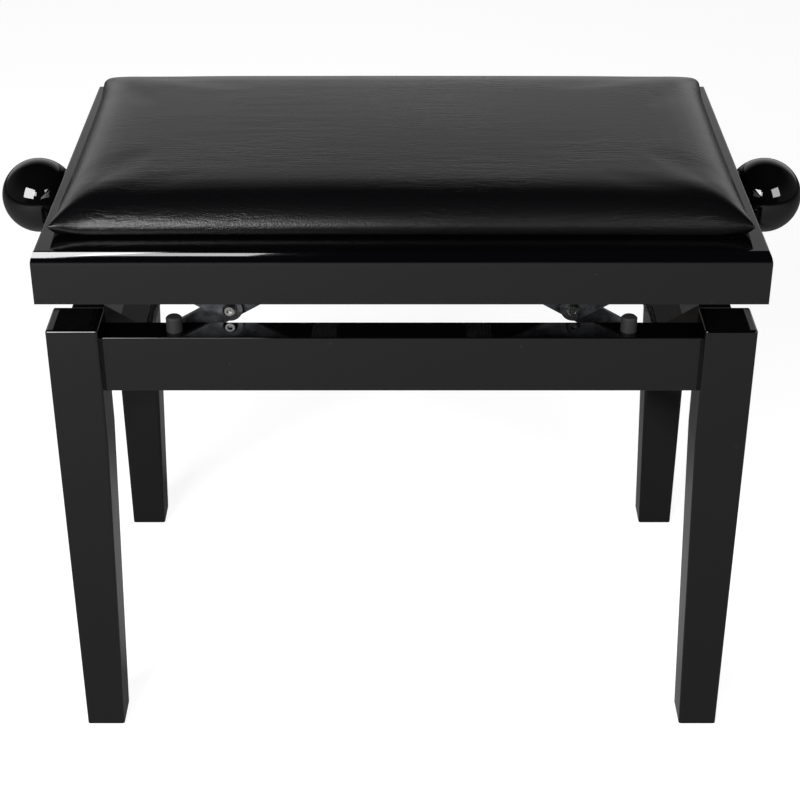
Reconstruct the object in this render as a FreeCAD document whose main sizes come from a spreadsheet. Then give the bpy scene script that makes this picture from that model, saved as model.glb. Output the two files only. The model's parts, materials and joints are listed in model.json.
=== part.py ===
import FreeCAD, Part
import os
import re
import Sketcher

# Height-adjustable piano bench: lacquered frame on four tapered legs, a padded seat
# carried by two mirrored half-scissors, and a left/right-hand spindle with a knob at
# each end. Millimetres, +Z up, origin on the floor under the middle of the bench.

doc = FreeCAD.newDocument("PianoBench")
sheet = doc.addObject("Spreadsheet::Sheet", "Sizes")

DRIVING = {
    # whole bench
    "bench_width": 550.0,
    "bench_depth": 350.0,
    "seat_raise": 24.0,
    # legs and glides
    "leg_inset": 4.5,
    "leg_length": 383.0,
    "leg_shoulder": 5.0,
    "leg_foot": 31.5,
    "leg_straight": 101.0,
    "leg_round": 2.0,
    "glide_height": 3.0,
    "glide_dia": 16.0,
    "glide_pin_dia": 2.5,
    "glide_pin_length": 12.0,
    "glide_round": 1.5,
    # aprons, dowels, corner blocks
    "apron_height": 47.0,
    "apron_thick": 25.0,
    "apron_setback": 10.0,
    "apron_drop": 11.0,
    "apron_round": 1.0,
    "dowel_dia": 8.0,
    "dowel_in_leg": 12.0,
    "dowel_in_apron": 14.0,
    "dowel_edge": 12.0,
    "block_leg": 30.0,
    "block_height": 21.0,
    "block_screw_edge": 6.0,
    "block_wall": 3.5,
    "leg_bolt_dia": 6.0,
    "leg_bolt_in_leg": 14.0,
    "leg_bolt_free": 9.0,
    "leg_nut_height": 5.0,
    # rubber buffers on the aprons
    "buffer_dia": 12.5,
    "buffer_height": 12.0,
    "buffer_chamfer": 1.2,
    "buffer_offset": 175.0,
    "stem_dia": 6.0,
    "stem_length": 8.0,
    # seat frame and cushion
    "rim_height": 42.5,
    "rim_thick": 28.0,
    "rim_round": 6.0,
    "rabbet_width": 10.0,
    "panel_thick": 12.0,
    "pad_side_margin": 10.0,
    "pad_front_margin": 26.0,
    "pad_board_thick": 5.0,
    "pad_screw_in_x": 66.25,
    "pad_screw_in_y": 52.15,
    "cushion_rise": 26.0,
    "cushion_round": 14.0,
    "cushion_corner": 12.0,
    "cover_thick": 1.2,
    # lift linkage
    "half_arm": 82.0,
    "arm_width": 20.0,
    "arm_thick": 4.0,
    "arm_inset": 8.5,
    "base_pivot_up": 13.0,
    "base_reach": 30.5,
    "bracket_thick": 3.0,
    "bracket_height": 22.0,
    "bracket_length": 40.0,
    "bracket_hole_at": 12.0,
    "rod_dia": 8.0,
    "pivot_dia": 6.0,
    "bolt_head_dia": 11.5,
    "bolt_head_height": 3.6,
    "bolt_crown": 2.0,
    "bolt_shoulder": 0.5,
    "bolt_edge": 0.8,
    "bolt_tail": 1.0,
    "socket_key": 4.0,
    "socket_depth": 2.0,
    "nut_key": 10.0,
    "nut_height": 5.0,
    "cap_dia": 14.0,
    "cap_height": 3.2,
    "rod_in_cap": 2.6,
    # spindle, nut bars, knobs
    "spindle_up": 12.0,
    "spindle_dia": 12.0,
    "shaft_dia": 10.0,
    "thread_start": 38.0,
    "thread_end": 146.0,
    "bar_side": 20.0,
    "trunnion_dia": 10.0,
    "clip_dia": 16.0,
    "clip_thick": 1.2,
    "clip_land": 1.2,
    "bush_dia": 16.0,
    "collar_dia": 20.0,
    "collar_length": 8.0,
    "rose_dia": 40.0,
    "rose_thick": 2.5,
    "knob_dia": 61.0,
    "knob_neck": 21.0,
    "knob_bore_depth": 21.5,
    "knob_gap": 1.0,
    "pin_dia": 5.0,
    "pin_length": 8.0,
    "pin_from_base": 9.0,
    # wood screws
    "screw_dia": 4.0,
    "screw_length": 16.0,
    "screw_head_dia": 8.0,
    "screw_head_height": 2.4,
    "screw_pitch": 18.0,
    "recess_reach": 4.8,
    "recess_width": 1.1,
    "recess_depth": 1.1,
    # clearances
    "run_gap": 0.05,
    "side_gap": 0.3,
    "open_gap": 0.3,
    "panel_gap": 0.2,
    "end_gap": 0.2,
    "tip_gap": 0.3,
    "head_room": 1.0,
    # how far a cutting solid passes the face it cuts
    "cut_over": 1.0,
}

# Places and lengths that follow from the driving sizes.
DERIVED = {
    "leg_side": "apron_setback + apron_thick + leg_shoulder",
    "leg_face_x": "bench_width / 2 - leg_inset",
    "leg_face_y": "bench_depth / 2 - leg_inset",
    "leg_top": "glide_height + leg_length",
    "apron_top": "leg_top - apron_drop",
    "apron_base": "apron_top - apron_height",
    "apron_run_x": "2 * (leg_face_x - leg_side)",
    "apron_run_y": "2 * (leg_face_y - leg_side)",
    "apron_inner": "apron_setback + apron_thick",
    "block_level": "apron_top - block_height / 2",
    "block_outer": "apron_inner + block_leg",
    "block_middle": "apron_inner + block_leg / 2",
    "block_screw_at": "block_outer - block_screw_edge",
    "block_screw_seat": "apron_inner + block_wall",
    "buffer_top": "apron_top + buffer_height",
    "rim_base": "buffer_top + seat_raise",
    "rim_top": "rim_base + rim_height",
    "rim_land": "rim_thick - rabbet_width",
    "panel_base": "rim_top - panel_thick",
    "panel_half_x": "bench_width / 2 - rim_land - panel_gap",
    "panel_half_y": "bench_depth / 2 - rim_land - panel_gap",
    "pad_half_x": "bench_width / 2 - pad_side_margin",
    "pad_half_y": "bench_depth / 2 - pad_front_margin",
    "pad_screw_x": "pad_half_x - pad_screw_in_x",
    "pad_screw_y": "pad_half_y - pad_screw_in_y",
    "board_inset": "cover_thick + side_gap",
    "foam_base": "rim_top + pad_board_thick + side_gap",
    "spindle_z": "rim_base + spindle_up",
    "base_pivot_z": "apron_base + base_pivot_up",
    "pivot_x": "leg_face_x - apron_inner - base_reach",
    "pivot_rise": "(spindle_z - base_pivot_z) / 2",
    "pivot_run": "sqrt(half_arm ^ 2 - pivot_rise ^ 2)",
    "arm_angle": "asin(pivot_rise / half_arm)",
    "mid_x": "pivot_x - pivot_run",
    "mid_z": "base_pivot_z + pivot_rise",
    "nut_x": "pivot_x - 2 * pivot_run",
    "short_outer": "leg_face_y - apron_inner - arm_inset",
    "short_inner": "short_outer - arm_thick",
    "long_outer": "short_inner - side_gap",
    "long_inner": "long_outer - arm_thick",
    "ear_outer": "long_inner - side_gap",
    "ear_inner": "ear_outer - bracket_thick",
    "seat_ear_inner": "long_outer - bracket_thick",
    "rim_inner_x": "bench_width / 2 - rim_thick",
    "seat_reach": "rim_inner_x - pivot_x",
    "mid_grip": "short_outer + side_gap - ear_outer",
    "seat_grip": "short_outer + side_gap - seat_ear_inner + side_gap",
    "rod_half": "long_outer + side_gap + rod_in_cap",
    "bar_half": "long_inner - side_gap",
    "clip_at": "long_outer + side_gap",
    "trunnion_half": "clip_at + clip_thick + clip_land",
    "knob_base_x": "bench_width / 2 + rose_thick + knob_gap",
    "knob_mid_x": "knob_base_x + knob_neck",
    "shaft_half": "knob_base_x + knob_bore_depth",
    "pin_x": "knob_base_x + pin_from_base",
    "collar_out": "rim_inner_x - bracket_thick - 2 * side_gap",
}

for row, (alias, value) in enumerate(DRIVING.items(), start=1):
    sheet.set("A%d" % row, alias)
    sheet.set("B%d" % row, str(value))
    sheet.setAlias("B%d" % row, alias)
for row, (alias, formula) in enumerate(DERIVED.items(), start=len(DRIVING) + 2):
    sheet.set("A%d" % row, alias)
    sheet.set("B%d" % row, "=" + formula)
    sheet.setAlias("B%d" % row, alias)
doc.recompute()

ALIASES = re.compile(r"\b(%s)\b" % "|".join(list(DRIVING) + list(DERIVED)))


def linked(text):
    """An expression written with bare sheet names, ready for setExpression."""
    return ALIASES.sub(r"Sizes.\1", str(text))


def bind(thing, prop, text):
    thing.setExpression(prop, linked(text))


def number(text):
    """The present value of an expression, as a plain number."""
    value = sheet.evalExpression(ALIASES.sub(r"\1", str(text)))
    return float(getattr(value, "Value", value))


def place(thing, where=("0", "0", "0"), axis=(0, 0, 1), angle="0"):
    """Puts a thing at three expressions, turned about an axis by an expression."""
    turn = FreeCAD.Rotation(FreeCAD.Vector(*axis), number(angle) or 0.0)
    thing.Placement = FreeCAD.Placement(FreeCAD.Vector(0, 0, 0), turn)
    if number(angle) != 0:
        thing.Placement.Rotation.Axis = FreeCAD.Vector(*axis)
        bind(thing, "Placement.Rotation.Angle", angle)
    for prop, text in zip("xyz", where):
        bind(thing, "Placement.Base." + prop, text)
    return thing


# ---------- Part primitives and booleans ----------

def box(name, size, where=("0", "0", "0")):
    solid = doc.addObject("Part::Box", name)
    for prop, text in zip(("Length", "Width", "Height"), size):
        bind(solid, prop, text)
    return place(solid, where)


def cylinder(name, dia, length, where=("0", "0", "0"), axis=(0, 0, 1), angle="0"):
    solid = doc.addObject("Part::Cylinder", name)
    bind(solid, "Radius", "(%s) / 2" % dia)
    bind(solid, "Height", length)
    return place(solid, where, axis, angle)


def along_x(name, dia, length, where):
    """A cylinder that runs from its place towards +X."""
    return cylinder(name, dia, length, where, (0, 1, 0), "90")


def along_y(name, dia, length, where):
    """A cylinder that runs from its place towards +Y."""
    return cylinder(name, dia, length, where, (1, 0, 0), "-90")


def hex_prism(name, key, length, where=("0", "0", "0")):
    solid = doc.addObject("Part::Prism", name)
    solid.Polygon = 6
    bind(solid, "Circumradius", "(%s) / sqrt(3)" % key)
    bind(solid, "Height", length)
    return place(solid, where)


def fuse(name, pieces):
    joined = doc.addObject("Part::MultiFuse", name)
    joined.Shapes = pieces
    joined.Refine = True
    return joined


def cut(name, base, tools):
    """The base less its tools; the tools are gathered in one compound."""
    gathered = doc.addObject("Part::Compound", name + "_tools")
    gathered.Links = tools
    trimmed = doc.addObject("Part::Cut", name)
    trimmed.Base = base
    trimmed.Tool = gathered
    return trimmed


def edges_of(shape, test):
    """Names of the edges whose two end points all pass the test."""
    names = []
    for index, edge in enumerate(shape.Edges, start=1):
        if all(test(vertex.Point) for vertex in edge.Vertexes):
            names.append("Edge%d" % index)
    return names


def near(a, b):
    return abs(a - b) < 1e-4


def rising_edges(shape):
    """Names of the edges whose ends differ in height."""
    names = []
    for index, edge in enumerate(shape.Edges, start=1):
        if abs(edge.Vertexes[0].Z - edge.Vertexes[-1].Z) > 1:
            names.append("Edge%d" % index)
    return names


# ---------- PartDesign bodies ----------

def plane_of(body, role):
    for feature in body.Origin.OriginFeatures:
        if feature.Role == role:
            return feature


def polygon_sketch(body, name, plane, points):
    """A closed outline on one of the body's planes."""
    sketch = body.newObject("Sketcher::SketchObject", name)
    sketch.AttachmentSupport = (plane_of(body, plane), [""])
    sketch.MapMode = "FlatFace"
    draw_outline(sketch, points)
    return sketch


def draw_outline(sketch, points):
    """Draws a closed outline; each corner is pinned by its two sheet expressions."""
    corners = [FreeCAD.Vector(number(u), number(v), 0) for u, v in points]
    count = len(corners)
    for index in range(count):
        line = Part.LineSegment(corners[index], corners[(index + 1) % count])
        sketch.addGeometry(line, False)
    for index in range(count):
        following = (index + 1) % count
        sketch.addConstraint(Sketcher.Constraint("Coincident", index, 2, following, 1))
    for index, (u, v) in enumerate(points):
        for kind, text, ruler in (("DistanceX", u, -2), ("DistanceY", v, -1)):
            if number(text) == 0:
                sketch.addConstraint(Sketcher.Constraint("PointOnObject", index, 1, ruler))
                continue
            pinned = Sketcher.Constraint(kind, -1, 1, index, 1, number(text))
            spot = sketch.addConstraint(pinned)
            bind(sketch, "Constraints[%d]" % spot, text)


def pad(body, sketch, length):
    feature = body.newObject("PartDesign::Pad", sketch.Name + "_pad")
    feature.Profile = sketch
    bind(feature, "Length", length)
    doc.recompute()
    return feature


def pocket_through(body, sketch):
    """Cuts an outline right through, both ways from its plane."""
    feature = body.newObject("PartDesign::Pocket", sketch.Name + "_cut")
    feature.Profile = sketch
    feature.Type = "ThroughAll"
    feature.Midplane = True
    doc.recompute()
    return feature


def fillet(body, edges, radius):
    base = body.Tip
    feature = body.newObject("PartDesign::Fillet", base.Name + "_round")
    feature.Base = (base, edges)
    bind(feature, "Radius", radius)
    doc.recompute()
    return feature


def revolve(body, sketch, axis):
    """Turns an outline about one of the body's axes."""
    feature = body.newObject("PartDesign::Revolution", sketch.Name + "_turn")
    feature.Profile = sketch
    feature.ReferenceAxis = (plane_of(body, axis), [""])
    feature.Angle = 360.0
    doc.recompute()
    return feature


def new_body(name):
    return doc.addObject("PartDesign::Body", name)


# ---------- naming and grouping of finished sub-parts ----------

nodes = []


def finish(thing, label):
    thing.Label = label
    nodes.append(thing)
    return thing


def copies(label, original, places):
    """Several equal pieces as separate solids under one label."""
    links = []
    for index, spot in enumerate(places, start=1):
        link = doc.addObject("App::Link", "%s_%d" % (label, index))
        link.LinkedObject = original
        link.LinkTransform = False
        place(link, *spot)
        links.append(link)
    group = doc.addObject("Part::Compound", label + "_group")
    group.Links = links
    return finish(group, label)


# The four corners: signs of X and Y, and the turn that carries a corner's own frame
# (outer corner at its origin, inward along +X and +Y) to it.
CORNERS = {
    "front_left": ("-", "-", "0"),
    "front_right": ("", "-", "90"),
    "back_right": ("", "", "180"),
    "back_left": ("-", "", "270"),
}
UP = (0, 0, 1)


def corner_place(corner, level):
    sign_x, sign_y, turn = CORNERS[corner]
    return (sign_x + "leg_face_x", sign_y + "leg_face_y", level), UP, turn


# ---------- base: legs, aprons, blocks, glides, buffers ----------

def rounded_square(name, side, level):
    """Square wire with a corner at the origin, its corners rounded like the leg's."""
    close, far = "leg_round", "%s - leg_round" % side
    inner = doc.addObject("Sketcher::SketchObject", name + "_inner")
    draw_outline(inner, [(close, close), (far, close), (far, far), (close, far)])
    place(inner, ("0", "0", level))
    doc.recompute()
    wire = doc.addObject("Part::Offset2D", name + "_wire")
    wire.Source = inner
    wire.Join = "Arc"
    bind(wire, "Value", "leg_round")
    return wire


def leg(corner):
    """Square block, tapered on its two inner faces below the aprons."""
    block = new_body("leg_block_" + corner)
    square = [("0", "0"), ("leg_side", "0"), ("leg_side", "leg_side"), ("0", "leg_side")]
    outline = polygon_sketch(block, "leg_square_" + corner, "XY_Plane", square)
    pad(block, outline, "leg_straight")
    crown = number("leg_straight")
    fillet(block, rising_edges(block.Shape), "leg_round")
    fillet(block, edges_of(block.Shape, lambda p: near(p.z, crown)), "leg_round")
    place(block, ("0", "0", "leg_length - leg_straight"))
    sections = [rounded_square("leg_foot_" + corner, "leg_foot", "0"),
                rounded_square("leg_knee_" + corner, "leg_side", "leg_length - leg_straight")]
    shank = doc.addObject("Part::Loft", "leg_shank_" + corner)
    shank.Sections = sections
    shank.Solid = True
    shank.Ruled = True
    doc.recompute()
    body = fuse("leg_blank_" + corner, [block, shank])
    holes = []
    middle = "apron_setback + apron_thick / 2"
    for index, drop in enumerate(("dowel_edge", "apron_height - dowel_edge")):
        level = "leg_length - apron_drop - (%s)" % drop
        start = "leg_side - dowel_in_leg - end_gap"
        bore = "dowel_dia + 2 * run_gap"
        tag = "%d_%s" % (index, corner)
        reach = "dowel_in_leg + 2 * cut_over"
        holes.append(along_x("dowel_bore_x" + tag, bore, reach, (start, middle, level)))
        holes.append(along_y("dowel_bore_y" + tag, bore, reach, (middle, start, level)))
    inside = "leg_side - leg_bolt_in_leg / sqrt(2) - end_gap"
    level = "leg_length - apron_drop - block_height / 2"
    holes.append(cylinder("leg_bolt_bore_" + corner, "leg_bolt_dia + 2 * run_gap",
                          "leg_bolt_in_leg + leg_bolt_dia", (inside, inside, level), (-1, 1, 0), "90"))
    holes.append(cylinder("glide_bore_" + corner, "glide_pin_dia + 2 * run_gap",
                          "glide_pin_length + tip_gap", ("leg_foot / 2", "leg_foot / 2", "0")))
    place(cut("leg_cut_" + corner, body, holes), *corner_place(corner, "glide_height"))
    return finish(doc.getObject("leg_cut_" + corner), "leg_" + corner)


def apron(label, run, corner, with_buffers, with_bracket):
    """Rail between two legs, drilled for its dowels, screws and buffers."""
    body = new_body(label + "_body")
    outline = [("0", "0"), (run, "0"), (run, "apron_thick"), ("0", "apron_thick")]
    pad(body, polygon_sketch(body, label + "_outline", "XY_Plane", outline), "apron_height")
    outer = edges_of(body.Shape, lambda p: near(p.y, 0))
    long_edges = [name for name in outer
                  if body.Shape.getElement(name).Length > number("apron_height") + 1]
    fillet(body, long_edges, "apron_round")
    holes = []
    middle = "apron_thick / 2"
    bore = "dowel_dia + 2 * run_gap"
    reach = "dowel_in_apron + end_gap + cut_over"
    for row, level in enumerate(("dowel_edge", "apron_height - dowel_edge")):
        holes.append(along_x("%s_dowel_a%d" % (label, row), bore, reach, ("-cut_over", middle, level)))
        holes.append(along_x("%s_dowel_b%d" % (label, row), bore, reach,
                             ("%s + cut_over - (%s)" % (run, reach), middle, level)))
    pilot = "screw_dia + 2 * run_gap"
    from_end = "block_screw_at - leg_side"
    deep = "screw_length + apron_inner - block_screw_seat + tip_gap"
    for tag, at in (("a", from_end), ("b", "%s - (%s)" % (run, from_end))):
        spot = (at, "apron_thick - (%s)" % deep, "apron_height - block_height / 2")
        holes.append(along_y("%s_pilot_%s" % (label, tag), pilot, deep + " + cut_over", spot))
    if with_buffers:
        for tag, side in (("a", "-"), ("b", "+")):
            spot = ("%s / 2 %s buffer_offset" % (run, side), middle,
                    "apron_height - stem_length - tip_gap")
            holes.append(cylinder("%s_stem_%s" % (label, tag), "stem_dia + 2 * run_gap",
                                  "stem_length + 2 * cut_over", spot))
    if with_bracket:
        deep = "screw_length - bracket_thick + tip_gap"
        for tag, at in bracket_screw_runs("ear_outer"):
            spot = ("%s / 2 + (%s)" % (run, at), "apron_thick - (%s)" % deep, "base_pivot_up")
            holes.append(along_y("%s_bracket_%s" % (label, tag), pilot, deep + " + cut_over", spot))
    drilled = cut(label + "_cut", body, holes)
    sign_x, sign_y, turn = CORNERS[corner]
    along, across = "leg_side", "apron_setback"
    if turn in ("90", "270"):
        along, across = across, along
    inward_x = "-" if sign_x == "" else "+"
    inward_y = "-" if sign_y == "" else "+"
    spot = ("%sleg_face_x %s %s" % (sign_x, inward_x, along),
            "%sleg_face_y %s %s" % (sign_y, inward_y, across), "apron_base")
    return finish(place(drilled, spot, UP, turn), label)


def bracket_screw_runs(ear):
    """The four screws of one side's two brackets, from the middle of that side."""
    far = "(%s - bracket_hole_at)" % ear
    close = "(%s - bracket_hole_at - screw_pitch)" % ear
    return [("a", "-" + far), ("b", "-" + close), ("c", close), ("d", far)]


def dowels():
    peg = doc.addObject("Part::Cylinder", "dowel_peg")
    bind(peg, "Radius", "dowel_dia / 2")
    bind(peg, "Height", "dowel_in_leg + dowel_in_apron")
    middle = "apron_setback + apron_thick / 2"
    start = "leg_side - dowel_in_leg"
    places = []
    for level in ("apron_base + dowel_edge", "apron_top - dowel_edge"):
        for side_y in ("-", "+"):
            offset = "%s1 * (leg_face_y - (%s))" % (side_y, middle)
            places.append((("-leg_face_x + " + start, offset, level), (0, 1, 0), "90"))
            places.append((("leg_face_x - (%s)" % start, offset, level), (0, 1, 0), "-90"))
        for side_x in ("-", "+"):
            offset = "%s1 * (leg_face_x - (%s))" % (side_x, middle)
            places.append(((offset, "-leg_face_y + " + start, level), (1, 0, 0), "-90"))
            places.append(((offset, "leg_face_y - (%s)" % start, level), (1, 0, 0), "90"))
    return copies("apron_dowels", peg, places)


def corner_block():
    """Three-sided block glued behind two aprons, notched around the leg."""
    body = new_body("block_body")
    outline = [
        ("leg_side", "apron_inner"),
        ("block_outer", "apron_inner"),
        ("apron_inner", "block_outer"),
        ("apron_inner", "leg_side"),
        ("leg_side", "leg_side"),
    ]
    pad(body, polygon_sketch(body, "block_outline", "XY_Plane", outline), "block_height")
    half = "block_height / 2"
    pilot = "screw_dia + 2 * run_gap"
    sink = "screw_head_dia + head_room"
    behind = "apron_inner - cut_over"
    tools = [
        cylinder("block_bolt_bore", "leg_bolt_dia + head_room", "block_outer",
                 ("leg_side - leg_bolt_dia", "leg_side - leg_bolt_dia", half), (-1, 1, 0), "90"),
        along_y("block_bore_y", pilot, "block_leg", ("block_screw_at", behind, half)),
        along_x("block_bore_x", pilot, "block_leg", (behind, "block_screw_at", half)),
        along_y("block_sink_y", sink, "block_leg", ("block_screw_at", "block_screw_seat", half)),
        along_x("block_sink_x", sink, "block_leg", ("block_screw_seat", "block_screw_at", half)),
    ]
    return cut("block_cut", body, tools)


def wood_screw():
    """Pan-head screw; its shank points along +Z from under the head."""
    shank = cylinder("screw_shank", "screw_dia", "screw_length")
    head = cylinder("screw_head", "screw_head_dia", "screw_head_height",
                    ("0", "0", "-screw_head_height"))
    blank = fuse("screw_blank", [shank, head])
    drive = [box("screw_slot_" + tag, (wide, deep, "recess_depth + cut_over"),
                 ("-%s / 2" % wide, "-%s / 2" % deep, "-screw_head_height - cut_over"))
             for tag, wide, deep in (("a", "recess_reach", "recess_width"),
                                     ("b", "recess_width", "recess_reach"))]
    return cut("screw", blank, drive)


def leg_bolt():
    return cylinder("leg_bolt", "leg_bolt_dia",
                    "leg_bolt_in_leg + (block_middle - leg_side) * sqrt(2) + leg_bolt_free")


def nut(name, key, height, bore):
    blank = hex_prism(name + "_blank", key, height)
    through = cylinder(name + "_bore", bore, "%s + 2 * cut_over" % height, ("0", "0", "-cut_over"))
    return cut(name, blank, [through])


def glide():
    """Domed plastic foot with its nail."""
    body = new_body("glide_body")
    rim = "glide_dia / 2"
    outline = [
        ("0", "0"), (rim + " - glide_round", "0"), (rim, "glide_round"), (rim, "glide_height"),
        ("glide_pin_dia / 2", "glide_height"),
        ("glide_pin_dia / 2", "glide_height + glide_pin_length"),
        ("0", "glide_height + glide_pin_length"),
    ]
    sketch = polygon_sketch(body, "glide_outline", "XZ_Plane", outline)
    revolve(body, sketch, "Z_Axis")
    return body


def buffer_peg():
    """Rubber peg with a chamfered crown and a push-in stem."""
    body = new_body("buffer_body")
    rim = "buffer_dia / 2"
    outline = [
        ("0", "-stem_length"), ("stem_dia / 2", "-stem_length"), ("stem_dia / 2", "0"),
        (rim, "0"), (rim, "buffer_height - buffer_chamfer"),
        (rim + " - buffer_chamfer", "buffer_height"), ("0", "buffer_height"),
    ]
    sketch = polygon_sketch(body, "buffer_outline", "XZ_Plane", outline)
    revolve(body, sketch, "Z_Axis")
    return body


for corner_name in CORNERS:
    leg(corner_name)
apron("front_apron", "apron_run_x", "front_left", True, False)
apron("right_apron", "apron_run_y", "front_right", False, True)
apron("back_apron", "apron_run_x", "back_right", True, False)
apron("left_apron", "apron_run_y", "back_left", False, True)
dowels()
copies("corner_blocks", corner_block(),
       [corner_place(name, "apron_top - block_height") for name in CORNERS])

screw = wood_screw()


def corner_spot(corner, inward_x, inward_y, level):
    """A point given inward from a corner's outer edge, in the bench's frame."""
    sign_x, sign_y, _ = CORNERS[corner]
    away_x = "+" if sign_x == "-" else "-"
    away_y = "+" if sign_y == "-" else "-"
    return ("%sleg_face_x %s (%s)" % (sign_x, away_x, inward_x),
            "%sleg_face_y %s (%s)" % (sign_y, away_y, inward_y), level)


def block_screw_places():
    places = []
    for name, (sign_x, sign_y, _) in CORNERS.items():
        spot = corner_spot(name, "block_screw_at", "block_screw_seat", "block_level")
        places.append((spot, (1, 0, 0), "90" if sign_y == "-" else "-90"))
        spot = corner_spot(name, "block_screw_seat", "block_screw_at", "block_level")
        places.append((spot, (0, 1, 0), "-90" if sign_x == "-" else "90"))
    return places


def diagonal_places(inward):
    """Places on the four corner diagonals, +Z turned towards the bench's middle."""
    turns = {"front_left": (-1, 1, 0), "front_right": (-1, -1, 0),
             "back_right": (1, -1, 0), "back_left": (1, 1, 0)}
    return [(corner_spot(name, inward, inward, "block_level"), turns[name], "90")
            for name in CORNERS]


copies("corner_block_screws", screw, block_screw_places())
copies("leg_bolts", leg_bolt(), diagonal_places("leg_side - leg_bolt_in_leg / sqrt(2)"))
copies("leg_bolt_nuts", nut("leg_nut", "nut_key", "leg_nut_height", "leg_bolt_dia + 2 * run_gap"),
       diagonal_places("block_middle"))
copies("foot_glides", glide(),
       [(corner_spot(name, "leg_foot / 2", "leg_foot / 2", "0"),) for name in CORNERS])
BUFFER_Y = "(leg_face_y - apron_setback - apron_thick / 2)"
copies("seat_buffers", buffer_peg(),
       [((x_sign + "buffer_offset", y_sign + BUFFER_Y, "apron_top"),)
        for x_sign in ("-", "") for y_sign in ("-", "")])


# ---------- brackets, hinge rods and their fasteners ----------

def side_bracket(name, reach, bore):
    """Angle bracket; origin on the outer face of its ear, at the pivot."""
    half = "bracket_height / 2"
    plate = box(name + "_plate", ("bracket_thick", "bracket_length", "bracket_height"),
                ("-(%s)" % reach, "0", "-" + half))
    ear = box(name + "_ear", (reach, "bracket_thick", "bracket_height"),
              ("-(%s)" % reach, "0", "-" + half))
    nose = along_y(name + "_nose", "bracket_height", "bracket_thick", ("0", "0", "0"))
    blank = fuse(name + "_blank", [plate, ear, nose])
    past = "bracket_thick + 2 * cut_over"
    tools = [along_y(name + "_pivot", bore, past, ("0", "-cut_over", "0"))]
    for tag, at in (("a", "bracket_hole_at"), ("b", "bracket_hole_at + screw_pitch")):
        tools.append(along_x(name + "_hole_" + tag, "screw_dia + 2 * open_gap", past,
                             ("-(%s) - cut_over" % reach, at, "0")))
    return cut(name, blank, tools)


def bracket_pair(label, original, side, ear, level):
    """Front and back bracket of one side; each is the other turned over."""
    x = side + "pivot_x"
    if side == "-":
        return copies(label, original, [((x, "-" + ear, level),),
                                        ((x, ear, level), (1, 0, 0), "180")])
    return copies(label, original, [((x, ear, level), UP, "180"),
                                    ((x, "-" + ear, level), (0, 1, 0), "180")])


def bracket_screw_places(face_x, ear, level):
    places = []
    for side, turn in (("-", "-90"), ("", "90")):
        for _, at in bracket_screw_runs(ear):
            places.append(((side + "(%s)" % face_x, at, level), (0, 1, 0), turn))
    return places


base_bracket = side_bracket("base_bracket", "base_reach", "rod_dia + 2 * run_gap")
bracket_pair("left_base_brackets", base_bracket, "-", "ear_outer", "base_pivot_z")
bracket_pair("right_base_brackets", base_bracket, "", "ear_outer", "base_pivot_z")
copies("base_bracket_screws", screw,
       bracket_screw_places("leg_face_x - apron_inner - bracket_thick", "ear_outer",
                            "base_pivot_z"))
for side_name, side_sign in (("left", "-"), ("right", "")):
    rod = along_y(side_name + "_rod", "rod_dia", "2 * rod_half",
                  (side_sign + "pivot_x", "-rod_half", "base_pivot_z"))
    finish(rod, side_name + "_hinge_rod")


def rod_cap():
    """Push-on cap, open towards +Z."""
    blank = cylinder("cap_blank", "cap_dia", "cap_height")
    return cut("cap", blank, [cylinder("cap_bore", "rod_dia + 2 * run_gap", "cap_height",
                                       ("0", "0", "cap_height - rod_in_cap - 2 * run_gap"))])


copies("hinge_rod_caps", rod_cap(),
       [((x_sign + "pivot_x", y_sign + "(long_outer + side_gap + cap_height)", "base_pivot_z"),
         (1, 0, 0), "-90" if y_sign == "-" else "90")
        for x_sign in ("-", "") for y_sign in ("-", "")])


# ---------- seat: rims, panel, cushion ----------

def rim(label, run, corner, with_bush):
    """Mitred frame rail with a rounded top edge and a rabbet for the panel."""
    body = new_body(label + "_body")
    profile = [
        ("0", "0"), ("rim_thick", "0"), ("rim_thick", "rim_height - panel_thick"),
        ("rim_land", "rim_height - panel_thick"), ("rim_land", "rim_height"),
        ("0", "rim_height"),
    ]
    pad(body, polygon_sketch(body, label + "_profile", "YZ_Plane", profile), run)
    top = number("rim_height")
    crown = edges_of(body.Shape, lambda p: near(p.y, 0) and near(p.z, top))
    fillet(body, crown, "rim_round")
    ends = {
        "near": [("0", "0"), ("rim_thick", "rim_thick"), ("0", "rim_thick")],
        "far": [(run, "0"), (run, "rim_thick"), (run + " - rim_thick", "rim_thick")],
    }
    for tag, outline in ends.items():
        name = "%s_mitre_%s" % (label, tag)
        pocket_through(body, polygon_sketch(body, name, "XY_Plane", outline))
    sign_x, sign_y, turn = CORNERS[corner]
    spot = (sign_x + "bench_width / 2", sign_y + "bench_depth / 2", "rim_base")
    if not with_bush:
        return finish(place(body, spot, UP, turn), label)
    middle = run + " / 2"
    holes = [along_y(label + "_bush_bore", "bush_dia + 2 * run_gap", "rim_thick + 2 * cut_over",
                     (middle, "-cut_over", "spindle_up"))]
    deep = "screw_length - bracket_thick + tip_gap"
    for tag, at in bracket_screw_runs("long_outer"):
        at_spot = ("%s + (%s)" % (middle, at), "rim_thick - (%s)" % deep, "spindle_up")
        holes.append(along_y("%s_pilot_%s" % (label, tag), "screw_dia + 2 * run_gap",
                             deep + " + cut_over", at_spot))
    return finish(place(cut(label + "_cut", body, holes), spot, UP, turn), label)


rim("front_rim", "bench_width", "front_left", False)
rim("right_rim", "bench_depth", "front_right", True)
rim("back_rim", "bench_width", "back_right", False)
rim("left_rim", "bench_depth", "back_left", True)

PAD_SCREWS = [(x, y) for x in ("-pad_screw_x", "0", "pad_screw_x")
              for y in ("-pad_screw_y", "pad_screw_y")]


def pad_bores(tag, length, level):
    return [cylinder("%s_bore_%d" % (tag, index), "screw_dia + 2 * run_gap", length, (x, y, level))
            for index, (x, y) in enumerate(PAD_SCREWS)]


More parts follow.
